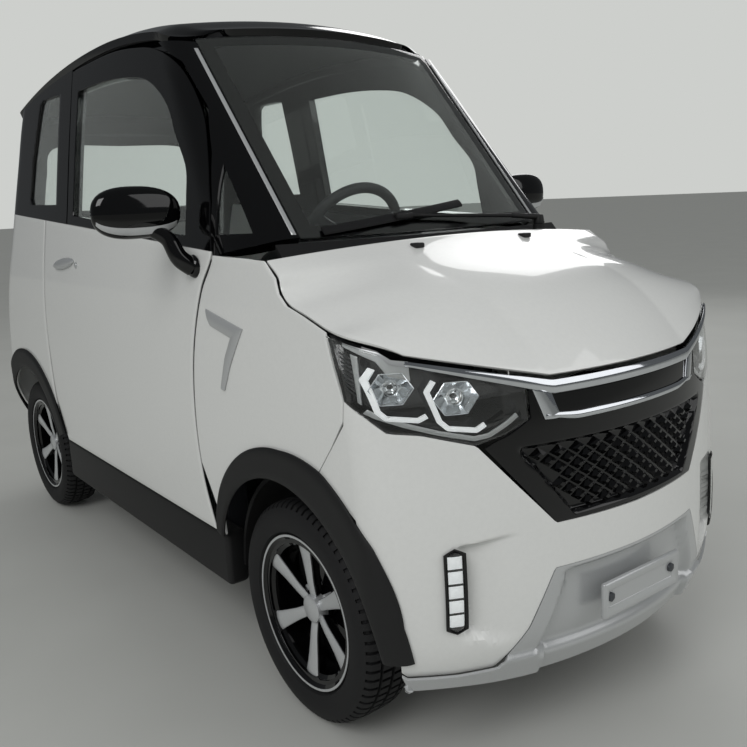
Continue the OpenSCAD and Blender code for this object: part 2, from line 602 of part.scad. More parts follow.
// Width of a front arch trim as a share of the trim width, at each angle from the rear over the top
TRIM_SHARE = [
    [18, 0.47], [38, 0.69], [57, 0.8], [78, 0.92], [92, 1], [114, 1.28], [140, 1.26], [152, 1], [164, 0.72],
    [176, 0.6]];
module arch_trim(x, end, a0, a1, width) {
    f = function (u, v) let (a = lerp(a0, a1, u), r = arch_r + v * width(a), z = axle_z + r * sin(a))
        [round_x(LOWER, end, x - r * cos(a), z), z];
    end_sheet(LOWER, end, 22, 6, f, trim_proud, -trim_gap);
}
module arch_trims() {
    rear_room = x_ra - x_rear - 66;
    color("#18181a") both() {
        arch_trim(x_fa, 1, 18, 176, function (a) arch_trim_w * lookup(a, TRIM_SHARE));
        arch_trim(x_ra, -1, 4, 162, function (a) min(arch_trim_w, rear_room / max(cos(a), 0.1) - arch_r));
    }
}
quarter_low_z = 553;
// Half width of the tailgate at each height, and of its opening
gate_low_z = 560;
gate_mid_z = 1060;
gate_head_gap = 27;
gate_head = 36.7;
gate_top_z = roof_under(roof_rear_x, 0) - gate_head_gap - gate_head;
drawn_gate = 372;
function gate_z(dz) = gate_mid_z + dz * (gate_top_z - gate_mid_z) / drawn_gate;
GATE_W = [[gate_low_z, 380], [900, 402], [gate_mid_z, 400], [gate_z(200), 384], [gate_z(355), 345]];
function gate_half(z) = level(GATE_W, z)[1];
function hatch_half(z) = gate_half(z) + shut_gap + 2;
module quarter_panels() {
    f = function (u, v) let (zn = lerp(quarter_low_z, belt_rear_z, v), t0 = round_y(LOWER, -1,
        hatch_half(zn), zn),
        t = lerp(t0, round_x(LOWER, -1, door_rear_x - shut_gap, zn), u), x = around(LOWER, -1, t, zn)[0],
        zl = max(axle_z + arc_h(arch_r + 8, min(abs(x - x_ra), arch_r - 20)), x < x_ra ? quarter_low_z +
            seam : 0))
        [t, lerp(zl, belt_z(x), v)];
    color("white") both() end_sheet(LOWER, -1, 18, 6, f, 0, panel_t);
}

// Upper cabin
// The roof is crowned across, falls to the screen and, more, to its rear lip
function roof_z(x, y) = overall_h - rise * (34 * (y / 400) ^ 2 + 62 * pow(max(x - roof_mid_x, 0) / 560, 2)
    + 84 * pow(max(roof_mid_x - x, 0) / 860, 2));
function roof_under(x, y) = roof_z(x, y) - roof_t - seam;
FRAME_OUT = concat(
    [[frame_rear_x, belt_z(frame_rear_x)], [along(860), belt_z(along(860))],
        [door_front(belt_front_z) - shut_gap, belt_z(door_front(belt_front_z) - shut_gap)], [x_fa - 307,
            up(1130)]],
    [for (p = DOOR_TOP) [p[0] - 5, p[1] - shut_gap]], [[frame_rear_x, up(1300)]]);
FRAME_IN = concat([
    [frame_rear_x + 55, belt_z(frame_rear_x) + 26], [along(860), belt_z(along(860)) + 26],
    [x_fa - 420, belt_z(x_fa - 420) + 26]], raised([[x_fa - 426, 1140], [x_fa - 436, 1212], [x_fa - 500, 1288],
    [along(567), 1372], [along(686), 1440], [along(814), 1467], [along(1000), 1482], [frame_rear_x + 60, 1484],
    [frame_rear_x + 55, 1300]]));
QUARTER_IN = raised([
    [frame_rear_x - 120, 1148], [x_ra + 290, 1150], [x_ra + 150, 1154], [x_ra + 128, 1175], [x_ra + 150, 1300],
    [x_ra + 190, 1430], [x_ra + 215, 1488], [x_ra + 240, 1500], [x_ra + 330, 1500], [frame_rear_x - 122, 1496],
    [frame_rear_x - 120, 1300]]);
LIGHT = raised([[x_fa - 262, 1056], [x_fa - 178, 1056], [x_fa - 312, 1212]]);
module side_prism(P, y0, y1) {
    translate([0, y1, 0]) rotate([90, 0, 0]) linear_extrude(y1 - y0) polygon(P);
}
screen_edge_t = function (z) round_y(UPPER, 1, screen_edge_y, z);
module cabin_frame() {
    top_z = function (x) roof_under(max(x, roof_rear_x), roof_half) - 1;
    rear_t = function (u, z) lerp(round_y(UPPER, -1, hatch_half(z), z),
        round_x(UPPER, -1, frame_rear_x - shut_gap, z), u);
    rear_z = function (u, v, z) let (x = around(UPPER, -1, rear_t(u, z), z)[0]) lerp(belt_z(x) + seam,
        top_z(x), v);
    rear_part = function (u, v) let (z = rear_z(u, v, rear_z(u, v, rear_z(u, v, up(1300))))) [rear_t(u, z), z];
    back = concat([[belt_front_z, door_front(belt_front_z)], [up(1130), x_fa - 300]],
        [for (i = [0 : 2]) [DOOR_TOP[i][1], DOOR_TOP[i][0]]], [[DOOR_TOP[3][1] + 10, DOOR_TOP[3][0]]]);
    front_part = function (u, v) let (z = lerp(lerp(belt_front_z, screen_foot_z + 3, u), lerp(back[5][0],
        up(1518), u), v))
        [lerp(round_x(UPPER, 1, lookup(z, back), z), screen_edge_t(z), u), z];
    header = grid(12, 2, function (u, v) let (y = lerp(-1, 1, u) * hatch_half(gate_top_z),
        z0 = gate_top(y) + gate_head_gap, z1 = max(roof_under(roof_rear_x, y) - 1, z0 + 8)) [y, lerp(z0,
            z1, v)]);
    color("#0b0b0c") {
        both() difference() {
            end_sheet(UPPER, 1, 6, 10, front_part, 0, frame_t);
            side_prism(LIGHT, 300, 600);
        }
        both() difference() {
            end_sheet(UPPER, -1, 14, 6, rear_part, 0, frame_t);
            side_prism(QUARTER_IN, 300, 600);
        }
        sheet([for (r = header) [for (p = r) gate_skin(p[0], p[1], 0)]],
            [for (r = header) [for (p = r) gate_skin(p[0], p[1], panel_t)]]);
    }
}
module roof() {
    r = 70;
    f = function (u, v, dz) let (s = lerp(-1, 1, u), e = (1 - abs(cos(180 * v))) * 750,
        w = roof_half - (e < r ? r - arc_h(r, r - e) : 0), y = s * w,
        x = lerp(roof_rear_x + 20 * s ^ 2, screen_top_x - 4 - y ^ 2 / 2 / screen_r, (1 - cos(180 * v)) / 2))
        [x, y, roof_z(x, y) - dz];
    n = [12, 14];
    color("#0b0b0c") sheet(grid(n[0], n[1], function (u, v) f(u, v, 0)),
        grid(n[0], n[1], function (u, v) f(u, v, roof_t)));
}
module windscreen() {
    f = function (u, v) let (s = lerp(-1, 1, u), y = s * (screen_edge_y - 1),
        z = lerp(screen_foot_z, roof_under(screen_top_x - 4 - y ^ 2 / 2 / screen_r, y) - seam, v))
        [s * (screen_edge_t(z) - 0.002), z];
    color("#9fb4bc") end_sheet(UPPER, 1, 12, 10, f, -1, 1 + glass_t);
}
function shrunk(P, k) = let (c = mean([for (p = P) [p[0], p[1], 0]])) [for (p = P) lerp([c[0], c[1]], p, k)];
module pane(A, t0, t1) {
    g = function (k, d) [for (p = shrunk(A, k)) side_point(UPPER, p, d)];
    loft([g(0.5, t0), g(1, t0), g(1, t1), g(0.5, t1)]);
}
pane_fit = 0.9985;
module quarter_glass() {
    color("#9fb4bc") both() {
        pane(shrunk(QUARTER_IN, pane_fit), 6, 6 + glass_t);
        pane(shrunk(LIGHT, 0.8), 2, 2 + glass_t);
    }
}
// Bonnet, a crowned lid that falls towards the nose
bonnet_rear_x = screen_foot_x + 62;
bonnet_rear_z = 1032;
bonnet_t = 10;
bonnet_pin_x = bonnet_rear_x + 6;
bonnet_pin_z = bonnet_rear_z - 36;
bonnet_pin_r = 5;
bonnet_pin_y = 140;
function bonnet_z(x, y) = let (a = x - bonnet_rear_x, c = abs(y) / 1000)
    bonnet_rear_z - 0.0735 * a - 0.000826 * a ^ 2 * sign(a) - 250 * c ^ 2 - 250 * c ^ 4;
function bonnet_rear(y) = bonnet_rear_x - y ^ 2 / 4200;
bonnet_half = 452;
bonnet_crown = 68;
lid_gap = 5;
module bonnet() {
    inset = panel_t + shut_gap;
    rear = function (u) let (y = u * bonnet_half, x = bonnet_rear(y)) [x, y, bonnet_z(x, y)];
    front = function (u) let (y = u * bar_half)
        [front_x(LOWER, y, bar_top(y)) - 1, y, bar_top(y) + lid_gap + bonnet_t];
    over = function (x, z, up, d = inset) [x, skin_y(LOWER, x, z) - d, z + up];
    SIDE = [
        rear(1), over(x_fa + 25, 952, 4), over(x_fa + 110, 910, 4), over(x_fa + 190, 884, 6),
        over(x_fa + 250, 866, 14, 4), over(x_fa + 300, 851, 16, 4), front(1)];
    f = function (u, v, dz) let (s = lerp(-1, 1, u),
        q = patch(function (w) rear(lerp(-1, 1, w)), function (w) front(lerp(-1, 1, w)),
            function (w) let (e = bend(SIDE, w)) [e[0], -e[1], e[2]], function (w) bend(SIDE, w), u, v))
        q + [0, 0, bonnet_crown * (1 - s ^ 4) * 4 * v * (1 - v) - dz];
    eye = [bonnet_pin_x, bonnet_pin_y, bonnet_pin_z];
    color("white") {
        sheet(grid(14, 10, function (u, v) f(u, v, 0)), grid(14, 10, function (u, v) f(u, v, bonnet_t)));
        both() difference() {
            union() {
                crosswise(eye[0], eye[1], eye[2], 10, 25);
                block(eye + [-6, 0, 0], [eye[0] + 14, eye[1] + 25, bonnet_z(eye[0] + 14, eye[1] +
                    25) - bonnet_t + 2.5]);
            }
            crosswise(eye[0], eye[1] - 1, eye[2], bonnet_pin_r + seam, 27);
        }
    }
}
cowl_half = 440;
wiper_y = 318;
wiper_x = bonnet_rear(wiper_y) - shut_gap - 24;
wiper_z = screen_foot_z - 6;
module cowl() {
    f = function (u, v, dz) let (y = lerp(-cowl_half, cowl_half, u),
        x0 = front_x(UPPER, y * screen_edge_y / cowl_half, screen_foot_z - 4) + 2, x = lerp(x0,
            bonnet_rear(y) - shut_gap, v),
        fall = 36 - 22 * (y / cowl_half) ^ 2)
        [x, y, lerp(screen_foot_z - 8, bonnet_z(x, y) - bonnet_t - fall, v) - dz];
    color("#151516") union() {
        sheet(grid(10, 2, function (u, v) f(u, v, 0)), grid(10, 2, function (u, v) f(u, v, 14)));
        upright(wiper_x, wiper_y, shelf_z + seam, 16, wiper_z - shelf_z - seam);
    }
}
module wiper() {
    reach = [screen_foot_x - 8, -110, screen_foot_z + 22];
    color("#1a1a1b") union() {
        upright(wiper_x, wiper_y, wiper_z + seam, 14, 16);
        hull() {
            translate([wiper_x - 7, wiper_y - 7, wiper_z + 6]) cube([14, 14, 8]);
            translate(reach) cube([10, 14, 8]);
        }
        for (y = [-310 : 95 : 70 - 95]) hull() for (dy = [0, 95])
            translate([front_x(UPPER, y + dy, reach[2]) + 8, y + dy, reach[2] - 4]) cube([9, 9, 14]);
    }
}

// Tail: bumper, lamps, tailgate
module rear_bumper() {
    f = function (u, v) let (z = lerp(230, quarter_low_z, v), s = lerp(-1, 1, u),
        x = x_ra - max(arc_h(arch_r + 8, z - axle_z), 40)) [s * round_x(LOWER, -1, x, z), z];
    color("white") end_sheet(LOWER, -1, 20, 5, f, 0, panel_t);
}
module tail_lamps() {
    f = function (u, v) let (z = lerp(650, 930, v)) [round_y(LOWER, -1, hatch_half(z) + lerp(10, 46, u),
        z), z];
    color("#a01016") both() end_sheet(LOWER, -1, 3, 5, f, 8, -0.8);
}
gate_t = 30;
gate_pin_y = 220;
gate_pin_r = 5;
function gate_top(y) = gate_top_z - 17 * (y / 330) ^ 2;
function gate_skin(y, z, d) =
    let (T = z < belt_rear_z ? LOWER : UPPER) around(T, -1, sign(y) * round_y(T, -1, y, z), z, d);
GATE_OUT = [
    [-GATE_W[2][1], gate_mid_z], [0, gate_mid_z], [GATE_W[2][1], gate_mid_z], [GATE_W[3][1], GATE_W[3][0]],
    [GATE_W[4][1], gate_top(GATE_W[4][1])], [0, gate_top_z], [-GATE_W[4][1], gate_top(GATE_W[4][1])],
    [-GATE_W[3][1], GATE_W[3][0]]];
GATE_IN = [for (p = [[-340, 70], [0, 66], [340, 70], [326, 200], [285, 320], [0, 332], [-285, 320],
    [-326, 200]])
    [p[0], gate_z(p[1])]];
gate_pin_z = gate_top(gate_pin_y) + 10;
gate_pin_x = rear_x(UPPER, gate_pin_y, gate_top(gate_pin_y)) + 12;
module tailgate() {
    P = grid(12, 5, function (u, v) let (z = lerp(gate_low_z, gate_mid_z - seam, v))
        [lerp(-1, 1, u) * gate_half(z), z]);
    color("white") sheet([for (r = P) [for (p = r) gate_skin(p[0], p[1], 0)]],
        [for (r = P) [for (p = r) gate_skin(p[0], p[1], gate_t)]]);
}
function in_fours(P) = let (n = len(P)) [for (i = [0 : n - 1], k = [0 : 3]) lerp(P[i], P[(i + 1) % n], k / 4)];
module tailgate_frame() {
    A = in_fours(GATE_OUT);
    B = in_fours(GATE_IN);
    color("#0b0b0c") {
        frame([[for (p = A) gate_skin(p[0], p[1], 0)], [for (p = B) gate_skin(p[0], p[1], 0)],
            [for (p = B) gate_skin(p[0], p[1], gate_t)], [for (p = A) gate_skin(p[0], p[1], gate_t)]]);
        both() difference() {
            union() {
                crosswise(gate_pin_x, gate_pin_y, gate_pin_z, 8, 24);
                block([gate_pin_x - 6, gate_pin_y, gate_top(gate_pin_y) + seam], [gate_pin_x + 6,
                    gate_pin_y + 24, gate_pin_z]);
            }
            crosswise(gate_pin_x, gate_pin_y - 1, gate_pin_z, gate_pin_r + seam, 26);
        }
    }
}
module rear_glass() {
    A = shrunk(in_fours(GATE_IN), pane_fit);
    g = function (k, d) [for (p = shrunk(A, k)) gate_skin(p[0], p[1], d)];
    color("#9fb4bc") loft([g(0.5, 8), g(1, 8), g(1, 8 + glass_t), g(0.5, 8 + glass_t)]);
}

// Doors
// A door is full depth up to its hinge face; ahead of that only its skin runs on, over the hinges
module door_panel(side) {
    nu = 12;
    face_x = hinge_x - hinge_face;
    f = function (u, v) let (zn = lerp(sill_z, belt_front_z, v), k = u * nu, x = k < nu - 2 ?
        lerp(door_rear(zn), face_x, k / (nu - 3)) : lerp(face_x + 0.5, door_front(zn) - shut_gap,
            (k - nu + 2) / 2))
        [x, lerp(sill_z, belt_z(x), v)];
    P = grid(nu, 8, f);
    color("white") handed(side) sheet([for (r = P) [for (p = r) side_point(LOWER, p, 0)]],
        [for (r = P) [for (p = r) side_point(LOWER, p, p[0] > face_x + 0.1 ? flange_t : door_t)]]);
}
module door_frame(side) {
    color("#0b0b0c") handed(side) frame(ring4(UPPER, [for (p = FRAME_OUT) [p[0], p[1] + seam]], FRAME_IN,
        frame_t));
}
module door_glass(side) {
    color("#9fb4bc") handed(side) pane(shrunk(FRAME_IN, pane_fit), 10, 10 + glass_t);
}
handle_x = x_ra + 530;
handle_z = 962;
hinge_x = x_fa - 430;
hinge_y = hw - 12;
hinge_pin_r = 4;
hinge_face = 20;
flange_t = 3.5;
HINGE_Z = [530, 720];
module door_hardware(side) {
    y = half_w(handle_z - 14) + seam;
    color("#b9bcc0") handed(side) {
        translate([handle_x - 110, y, handle_z - 14]) cube([220, 16, 28]);
        for (z = HINGE_Z) difference() {
            union() {
                upright(hinge_x, hinge_y, z - 10, 6.5, 20);
                block([hinge_x - hinge_face + 0.8, hinge_y - 6.5, z - 10], [hinge_x, hinge_y + 6.5, z + 10]);
            }
            upright(hinge_x, hinge_y, z - 11, hinge_pin_r + seam, 22);
        }
    }
}
mirror_x = x_fa - 395;
mirror_z = 1112;
mirror_foot_z = 985;
module ball(p, r) {
    translate(p) sphere(r, $fn = 12);
}
module shell_end(p, r) {
    translate(p) scale([0.62, 0.5, 1]) sphere(r, $fn = 16);
}
module door_mirror(side) {
    foot = [mirror_x + 40, half_w(mirror_foot_z) + seam, mirror_foot_z];
    color("#0b0b0c") handed(side) union() {
        translate(foot) rotate([-82, 0, 0]) translate([0, 0, 1.4]) cylinder(r = 22, h = 14);
        hull() {
            ball(foot + [0, 13, 0], 11);
            ball([mirror_x, foot[1] + 90, mirror_z - 34], 11);
        }
        hull() {
            shell_end([mirror_x, foot[1] + 58, mirror_z + 4], 54);
            shell_end([mirror_x - 16, foot[1] + 200, mirror_z], 57);
        }
    }
}
module door_right() { door_panel(-1); }
module door_left() { door_panel(1); }
module door_frame_right() { door_frame(-1); }
module door_frame_left() { door_frame(1); }
module door_glass_right() { door_glass(-1); }
module door_glass_left() { door_glass(1); }
module door_hardware_right() { door_hardware(-1); }
module door_hardware_left() { door_hardware(1); }
module mirror_right() { door_mirror(-1); }
module mirror_left() { door_mirror(1); }
module hinges() {
    post_y = [hinge_y - 120, sill_y - seam];
    color("#3c3f43") {
        both() union() {
            block([hinge_x - 24, post_y[0], floor_z], [hinge_x + 26, post_y[1], HINGE_Z[1] + 60]);
            for (z = HINGE_Z) {
                upright(hinge_x, hinge_y, z - 24, hinge_pin_r, 48);
                for (dz = [-24, 12]) {
                    block([hinge_x - 6, post_y[0], z + dz], [hinge_x + 6, hinge_y, z + dz + 12]);
                    upright(hinge_x, hinge_y, z + dz, 6, 12);
                }
            }
        }
        both() union() {
            block([bonnet_pin_x - 9, bonnet_pin_y - 14, shelf_z], [bonnet_pin_x + 9, bonnet_pin_y - 2,
                bonnet_pin_z + 7]);
            crosswise(bonnet_pin_x, bonnet_pin_y - 10, bonnet_pin_z, bonnet_pin_r, 36);
        }
        both() union() {
            block([gate_pin_x - 7, gate_pin_y - 14, gate_pin_z - 7],
                [gate_pin_x + 7, gate_pin_y - 2, gate_top(gate_pin_y - 2) + gate_head_gap - seam]);
            crosswise(gate_pin_x, gate_pin_y - 10, gate_pin_z, gate_pin_r, 36);
        }
    }
}

// Inside
module dashboard() {
    color("#2a2b2d") union() {
        side_prism([
            [dash_x - seam, shelf_z - 50], [dash_x - 110, shelf_z - 60], [dash_x - 160, shelf_z],
            [dash_x - 140, shelf_z + 95], [dash_x - 60, shelf_z + 125], [dash_x + 70, shelf_z + 125],
            [dash_x + 110, shelf_z + 80], [dash_x + 110, shelf_z + seam], [dash_x - seam, shelf_z + seam]],
            -dash_half, dash_half);
        on_column() translate([0, 0, -60]) cylinder(r = column_r, h = 62);
        on_column() translate([0, 0, -150]) cylinder(r = 26, h = 120);
    }
}
module driver_seat() {
    color("#2f3033") union() {
        block([-210, -seat_w / 2, battery_top + seam], [270, seat_w / 2, seat_z]);
        translate([-210, -seat_w / 2, seat_z - 60]) rotate([0, -12, 0]) cube([90, seat_w, 470]);
    }
}
module rear_bench() {
    color("#2f3033") union() {
        block([tub_x - 350, -330, deck_z + seam], [tub_x, 330, seat_z]);
        translate([tub_x - 350, -330, seat_z - 60]) rotate([0, -10, 0]) cube([80, 660, 420]);
    }
}
steer_x = x_fa - 455;
steer_z = 1010;
steer_tilt = 62;
column_r = 9;
module on_column() {
    translate([steer_x, 0, steer_z]) rotate([0, -steer_tilt, 0]) children();
}
module steering_wheel() {
    color("#1e1f21") on_column() difference() {
        union() {
            rotate_extrude() translate([steering_d / 2 - 15, 0]) circle(r = 15);
            for (a = [60, 180, 300]) rotate([0, 0, a]) translate([0, -14, -8]) cube([steering_d / 2 - 15,
                28, 14]);
            translate([0, 0, -24]) cylinder(r = 52, h = 34);
        }
        translate([0, 0, -25]) cylinder(r = column_r + seam, h = 30);
    }
}

chassis_frame();
floor_pan();
battery_pack();
rear_axle();
wishbones();
shock_absorbers();
steering_rack();
wheel_tubs();
side_sills();
front_bumper();
skid_panel();
plate_bracket();
grille_frame();
grille_mesh();
chrome_bars();
headlamps();
lamp_lenses();
fenders();
fender_vents();
arch_trims();
quarter_panels();
cabin_frame();
roof();
windscreen();
quarter_glass();
cowl();
wiper();
rear_bumper();
tail_lamps();
dashboard();
driver_seat();
rear_bench();
hinges();
bonnet();
tailgate();
tailgate_frame();
rear_glass();
door_right();
door_frame_right();
door_glass_right();
door_hardware_right();
mirror_right();
door_left();
door_frame_left();
door_glass_left();
door_hardware_left();
mirror_left();
steering_wheel();
knuckle_right();
knuckle_left();
tyre_front_right();
tyre_front_left();
tyre_rear_right();
tyre_rear_left();
rim_front_right();
rim_front_left();
rim_rear_right();
rim_rear_left();
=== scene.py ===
# %% [markdown]
# # The enclosed mobility scooter
# A small four-wheeled electric car: a white body with a gloss-black cabin, black arch trims and alloy wheels.
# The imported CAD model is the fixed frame. This lesson dresses it: smooth panels are laid on the same skin that the
# CAD panels follow, then come the trims, lamps, wheels, glass and seats, and at the end the light and the camera.

# %% Load the frame
from math import acos, asin, atan2, copysign, cos, pi, radians, sin, sqrt

import bpy
from mathutils import Matrix, Vector


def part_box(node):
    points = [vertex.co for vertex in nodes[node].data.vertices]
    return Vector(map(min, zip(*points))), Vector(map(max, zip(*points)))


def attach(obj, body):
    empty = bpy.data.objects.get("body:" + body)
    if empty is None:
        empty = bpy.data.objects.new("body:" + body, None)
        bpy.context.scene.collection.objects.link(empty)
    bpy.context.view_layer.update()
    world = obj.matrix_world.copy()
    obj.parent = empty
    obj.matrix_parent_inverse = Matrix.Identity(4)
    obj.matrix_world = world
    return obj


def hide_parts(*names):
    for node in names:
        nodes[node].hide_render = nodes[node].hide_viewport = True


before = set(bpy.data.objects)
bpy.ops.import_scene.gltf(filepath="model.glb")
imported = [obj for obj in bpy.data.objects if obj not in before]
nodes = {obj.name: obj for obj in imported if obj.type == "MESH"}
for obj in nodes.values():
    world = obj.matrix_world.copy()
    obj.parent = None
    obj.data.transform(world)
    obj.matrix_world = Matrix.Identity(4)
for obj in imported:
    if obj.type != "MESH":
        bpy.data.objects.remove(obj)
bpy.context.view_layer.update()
MM = 0.001
bpy.ops.object.select_all(action="DESELECT")

# %% [markdown]
# ## The skin
# Every outer panel of the car lies on one skin, as on a real body. A level of the skin is a plan outline: a nose arc,
# two corner arcs, straight sides and a tail arc. Tables give these at a few heights, and a cubic joins them.
# With one skin, neighbouring panels always meet flush, so it is worth more than shaping each panel by eye.

# %% Sizes, in millimetres
x_front, hw, roof_top = 1365, 540, 1640
x_rear, x_fa, x_ra = -x_front, 860, -985
tyre_r, tyre_w, rim_r, wheel_y = 247, 135, 174, 447.5
axle_z = tyre_r
sill_z, belt_front_z, belt_rear_z, shut_gap = 345, 1012, 1116, 7
panel_t, frame_t, door_t, skin_t = 12, 34, 52, 3.5
arch_r, arch_trim_w = 306, 74
tail_r, tail_corner = 1600, 250
screen_foot = (x_front - 565, 1040)
screen_top = (x_front - 1010, 1545)
screen_r, screen_edge_y = 1150, 372


def screen_x(z):
    rake = (screen_top[0] - screen_foot[0]) / (screen_top[1] - screen_foot[1])
    return screen_foot[0] + rake * (z - screen_foot[1])


# Height, nose x, nose radius, front corner radius, tail x, tail radius, rear corner radius
LOWER = [
    (190, x_front - 50, 900, 70, x_rear + 40, tail_r, 100), (270, x_front - 18, 900, 70, x_rear + 12, tail_r, 104),
    (sill_z, x_front - 12, 910, 75, x_rear + 2, tail_r, 108), (480, x_front - 14, 910, 80, x_rear + 1, tail_r, 112),
    (620, x_front - 20, 900, 85, x_rear + 8, tail_r, 120), (780, x_front - 34, 880, 100, x_rear + 20, tail_r, 165),
    (900, x_front - 60, 860, 150, x_rear + 30, tail_r, 205),
    (belt_front_z, x_front - 110, 840, 190, x_rear + 42, tail_r, 240),
    (belt_rear_z, x_front - 200, 800, 200, x_rear + 60, tail_r, tail_corner)]
UPPER = [
    (z, screen_x(z), screen_r, front, x_rear + tail, tail_r, rear) for z, front, tail, rear in (
        (960, 150, 36, tail_corner), (1120, 140, 60, tail_corner), (1300, 110, 105, tail_corner),
        (1450, 80, 165, tail_corner - 40), (1620, 60, 250, tail_corner - 60))]
# Height and half width
WIDTH = [
    (190, hw - 30), (270, hw - 18), (sill_z, hw - 10), (480, hw - 3), (620, hw), (780, hw - 2), (900, hw - 12),
    (belt_front_z, hw - 27), (belt_rear_z, hw - 44), (1300, hw - 72), (1450, hw - 97), (1557, hw - 116),
    (1640, hw - 134)]
# Straight side that counts as one more step of the way round
SIDE_RUN = 1000


def level(T, z):
    """The row of a table at a height, with a cubic between the rows."""
    i = 0
    while i < len(T) - 2 and z >= T[i + 1][0]:
        i += 1
    p, q, h = T[i], T[i + 1], T[i + 1][0] - T[i][0]
    t = min(max((z - p[0]) / h, 0), 1)

    def slope(k, c):
        a, b = T[max(k - 1, 0)], T[min(k + 1, len(T) - 1)]
        return (b[c] - a[c]) / (b[0] - a[0]) * h
    return [p[c] * (2 * t ** 3 - 3 * t ** 2 + 1) + slope(i, c) * (t ** 3 - 2 * t ** 2 + t)
            + q[c] * (3 * t ** 2 - 2 * t ** 3) + slope(i + 1, c) * (t ** 3 - t ** 2) for c in range(len(p))]


def half_w(z):
    """Half the body's width at a height."""
    return level(WIDTH, z)[1]


def end_arcs(T, end, z, d=0):
    """Arcs of the nose (end 1) or the tail (end -1) at a height, set in by d."""
    row = level(T, z)
    x, big, corner = row[1:4] if end > 0 else row[4:7]
    r, w = max(corner - d, 1), half_w(z) - d
    x0, cy = x - end * big, w - r
    run = sqrt((big - d - r) ** 2 - cy ** 2)
    return x0, x0 + end * run, cy, atan2(cy, run), big - d, r


def round_y(T, end, y, z):
    """The way round an end at which the skin has this y: 1 is where the corner starts, 2 where the side starts."""
    x0, cx, cy, a, big, r = end_arcs(T, end, z)
    y = abs(y)
    return asin(y / big) / a if y < big * sin(a) else 1 + (asin(min((y - cy) / r, 1)) - a) / (pi / 2 - a)


def round_x(T, end, x, z):
    """The same for an x. Beyond 2 the way runs on along the straight side."""
    x0, cx, cy, a, big, r = end_arcs(T, end, z)
    c = end * (x - cx)
    if c > r * cos(a):
        return acos(min(end * (x - x0) / big, 1)) / a
    return 1 + (acos(c / r) - a) / (pi / 2 - a) if c > 0 else 2 - c / SIDE_RUN


def around(T, end, t, z, d=0):
    """The point of the skin at t of the way round an end, set in by d."""
    x0, cx, cy, a, big, r = end_arcs(T, end, z, d)
    side, t = copysign(1, t), abs(t)
    if t < 1:
        return x0 + end * big * cos(t * a), side * big * sin(t * a), z
    if t < 2:
        g = a + (t - 1) * (pi / 2 - a)
        return cx + end * r * cos(g), side * (cy + r * sin(g)), z
    return cx - end * (t - 2) * SIDE_RUN, side * (cy + r), z


def side_point(T, x, z, d=0):
    end = 1 if x > 0 else -1
    return around(T, end, round_x(T, end, x, z), z, d)


def nose_point(y, z, d=0, T=LOWER):
    return around(T, 1, copysign(round_y(T, 1, y, z), y), z, d)


def tail_point(y, z, d=0):
    T = LOWER if z < belt_rear_z else UPPER
    return around(T, -1, copysign(round_y(T, -1, y, z), y), z, d)


def lerp(a, b, t):
    return a + (b - a) * t


def smooth_step(a, b, x):
    """Rises softly from 0 at a to 1 at b."""
    t = min(max((x - a) / (b - a), 0), 1)
    return t * t * (3 - 2 * t)


def straight(P, u):
    """A point at a share u of a line's stretches, straight here and curved in bend."""
    n = len(P) - 1
    i = min(int(u * n), n - 1)
    return lerp(Vector(P[i]), Vector(P[i + 1]), u * n - i)


def cubic(a, b, c, d, t):
    """A curve from b to c that takes its directions from the neighbours a and d."""
    return b + (c - a) * t / 2 + (2 * a - 5 * b + 4 * c - d) * t ** 2 / 2 + (3 * b - a - 3 * c + d) * t ** 3 / 2


def bend(P, u):
    n = len(P) - 1
    i = min(int(u * n), n - 1)
    return cubic(*(Vector(P[k]) for k in (max(i - 1, 0), i, i + 1, min(i + 2, n))), u * n - i)


def patch(lo, hi, left, right, u, v):
    """The inside of four border lines."""
    corners = lerp(lerp(lo(0), lo(1), u), lerp(hi(0), hi(1), u), v)
    return lerp(lo(u), hi(u), v) + lerp(left(v), right(v), u) - corners


def lookup(rows, z):
    """Straight lines through rows of (height, value)."""
    for (z0, a), (z1, b) in zip(rows, rows[1:]):
        if z <= z1:
            return lerp(a, b, max((z - z0) / (z1 - z0), 0))
    return rows[-1][1]


print("half width at the sill and at the waist", half_w(sill_z), half_w(belt_front_z))

# %% [markdown]
# ## Tools
# A panel starts as Blender's grid primitive. Its points are laid on the skin by a rule that turns the grid's two
# directions into a place, Solidify gives it its thickness and Bevel breaks its edges, as a pressed or moulded
# panel's edges are broken. Smaller parts start from cubes, cylinders and circles in the same way.

# %% Helpers for pieces


def clear():
    bpy.ops.object.select_all(action="DESELECT")


def pick(obj):
    clear()
    obj.select_set(True)
    bpy.context.view_layer.objects.active = obj
    return obj


def modify(obj, kind, **settings):
    pick(obj)
    m = obj.modifiers.new(kind, kind)
    for name, value in settings.items():
        setattr(m, name, value)
    bpy.ops.object.modifier_apply(modifier=m.name)
    return obj


def smooth(obj, angle=32):
    pick(obj)
    bpy.ops.object.shade_smooth_by_angle(angle=radians(angle))
    return obj


def edge(obj, width, segments=2, angle=48):
    modify(obj, "BEVEL", width=width * MM, segments=segments, limit_method="ANGLE", angle_limit=radians(angle),
           use_clamp_overlap=True)
    return smooth(obj)


def edit_all(obj, *steps):
    """Runs mesh operators one by one on the whole of a piece."""
    pick(obj)
    bpy.ops.object.mode_set(mode="EDIT")
    for step in steps:
        bpy.ops.mesh.select_all(action="SELECT")
        step()
    bpy.ops.object.mode_set(mode="OBJECT")


def weld(distance=0.05):
    bpy.ops.mesh.remove_doubles(threshold=distance * MM)


def face_out():
    bpy.ops.mesh.normals_make_consistent(inside=False)


def turn_outwards(obj, middle):
    away = sum(f.normal.dot(f.center - middle) * f.area for f in obj.data.polygons)
    if away < 0:
        obj.data.flip_normals()


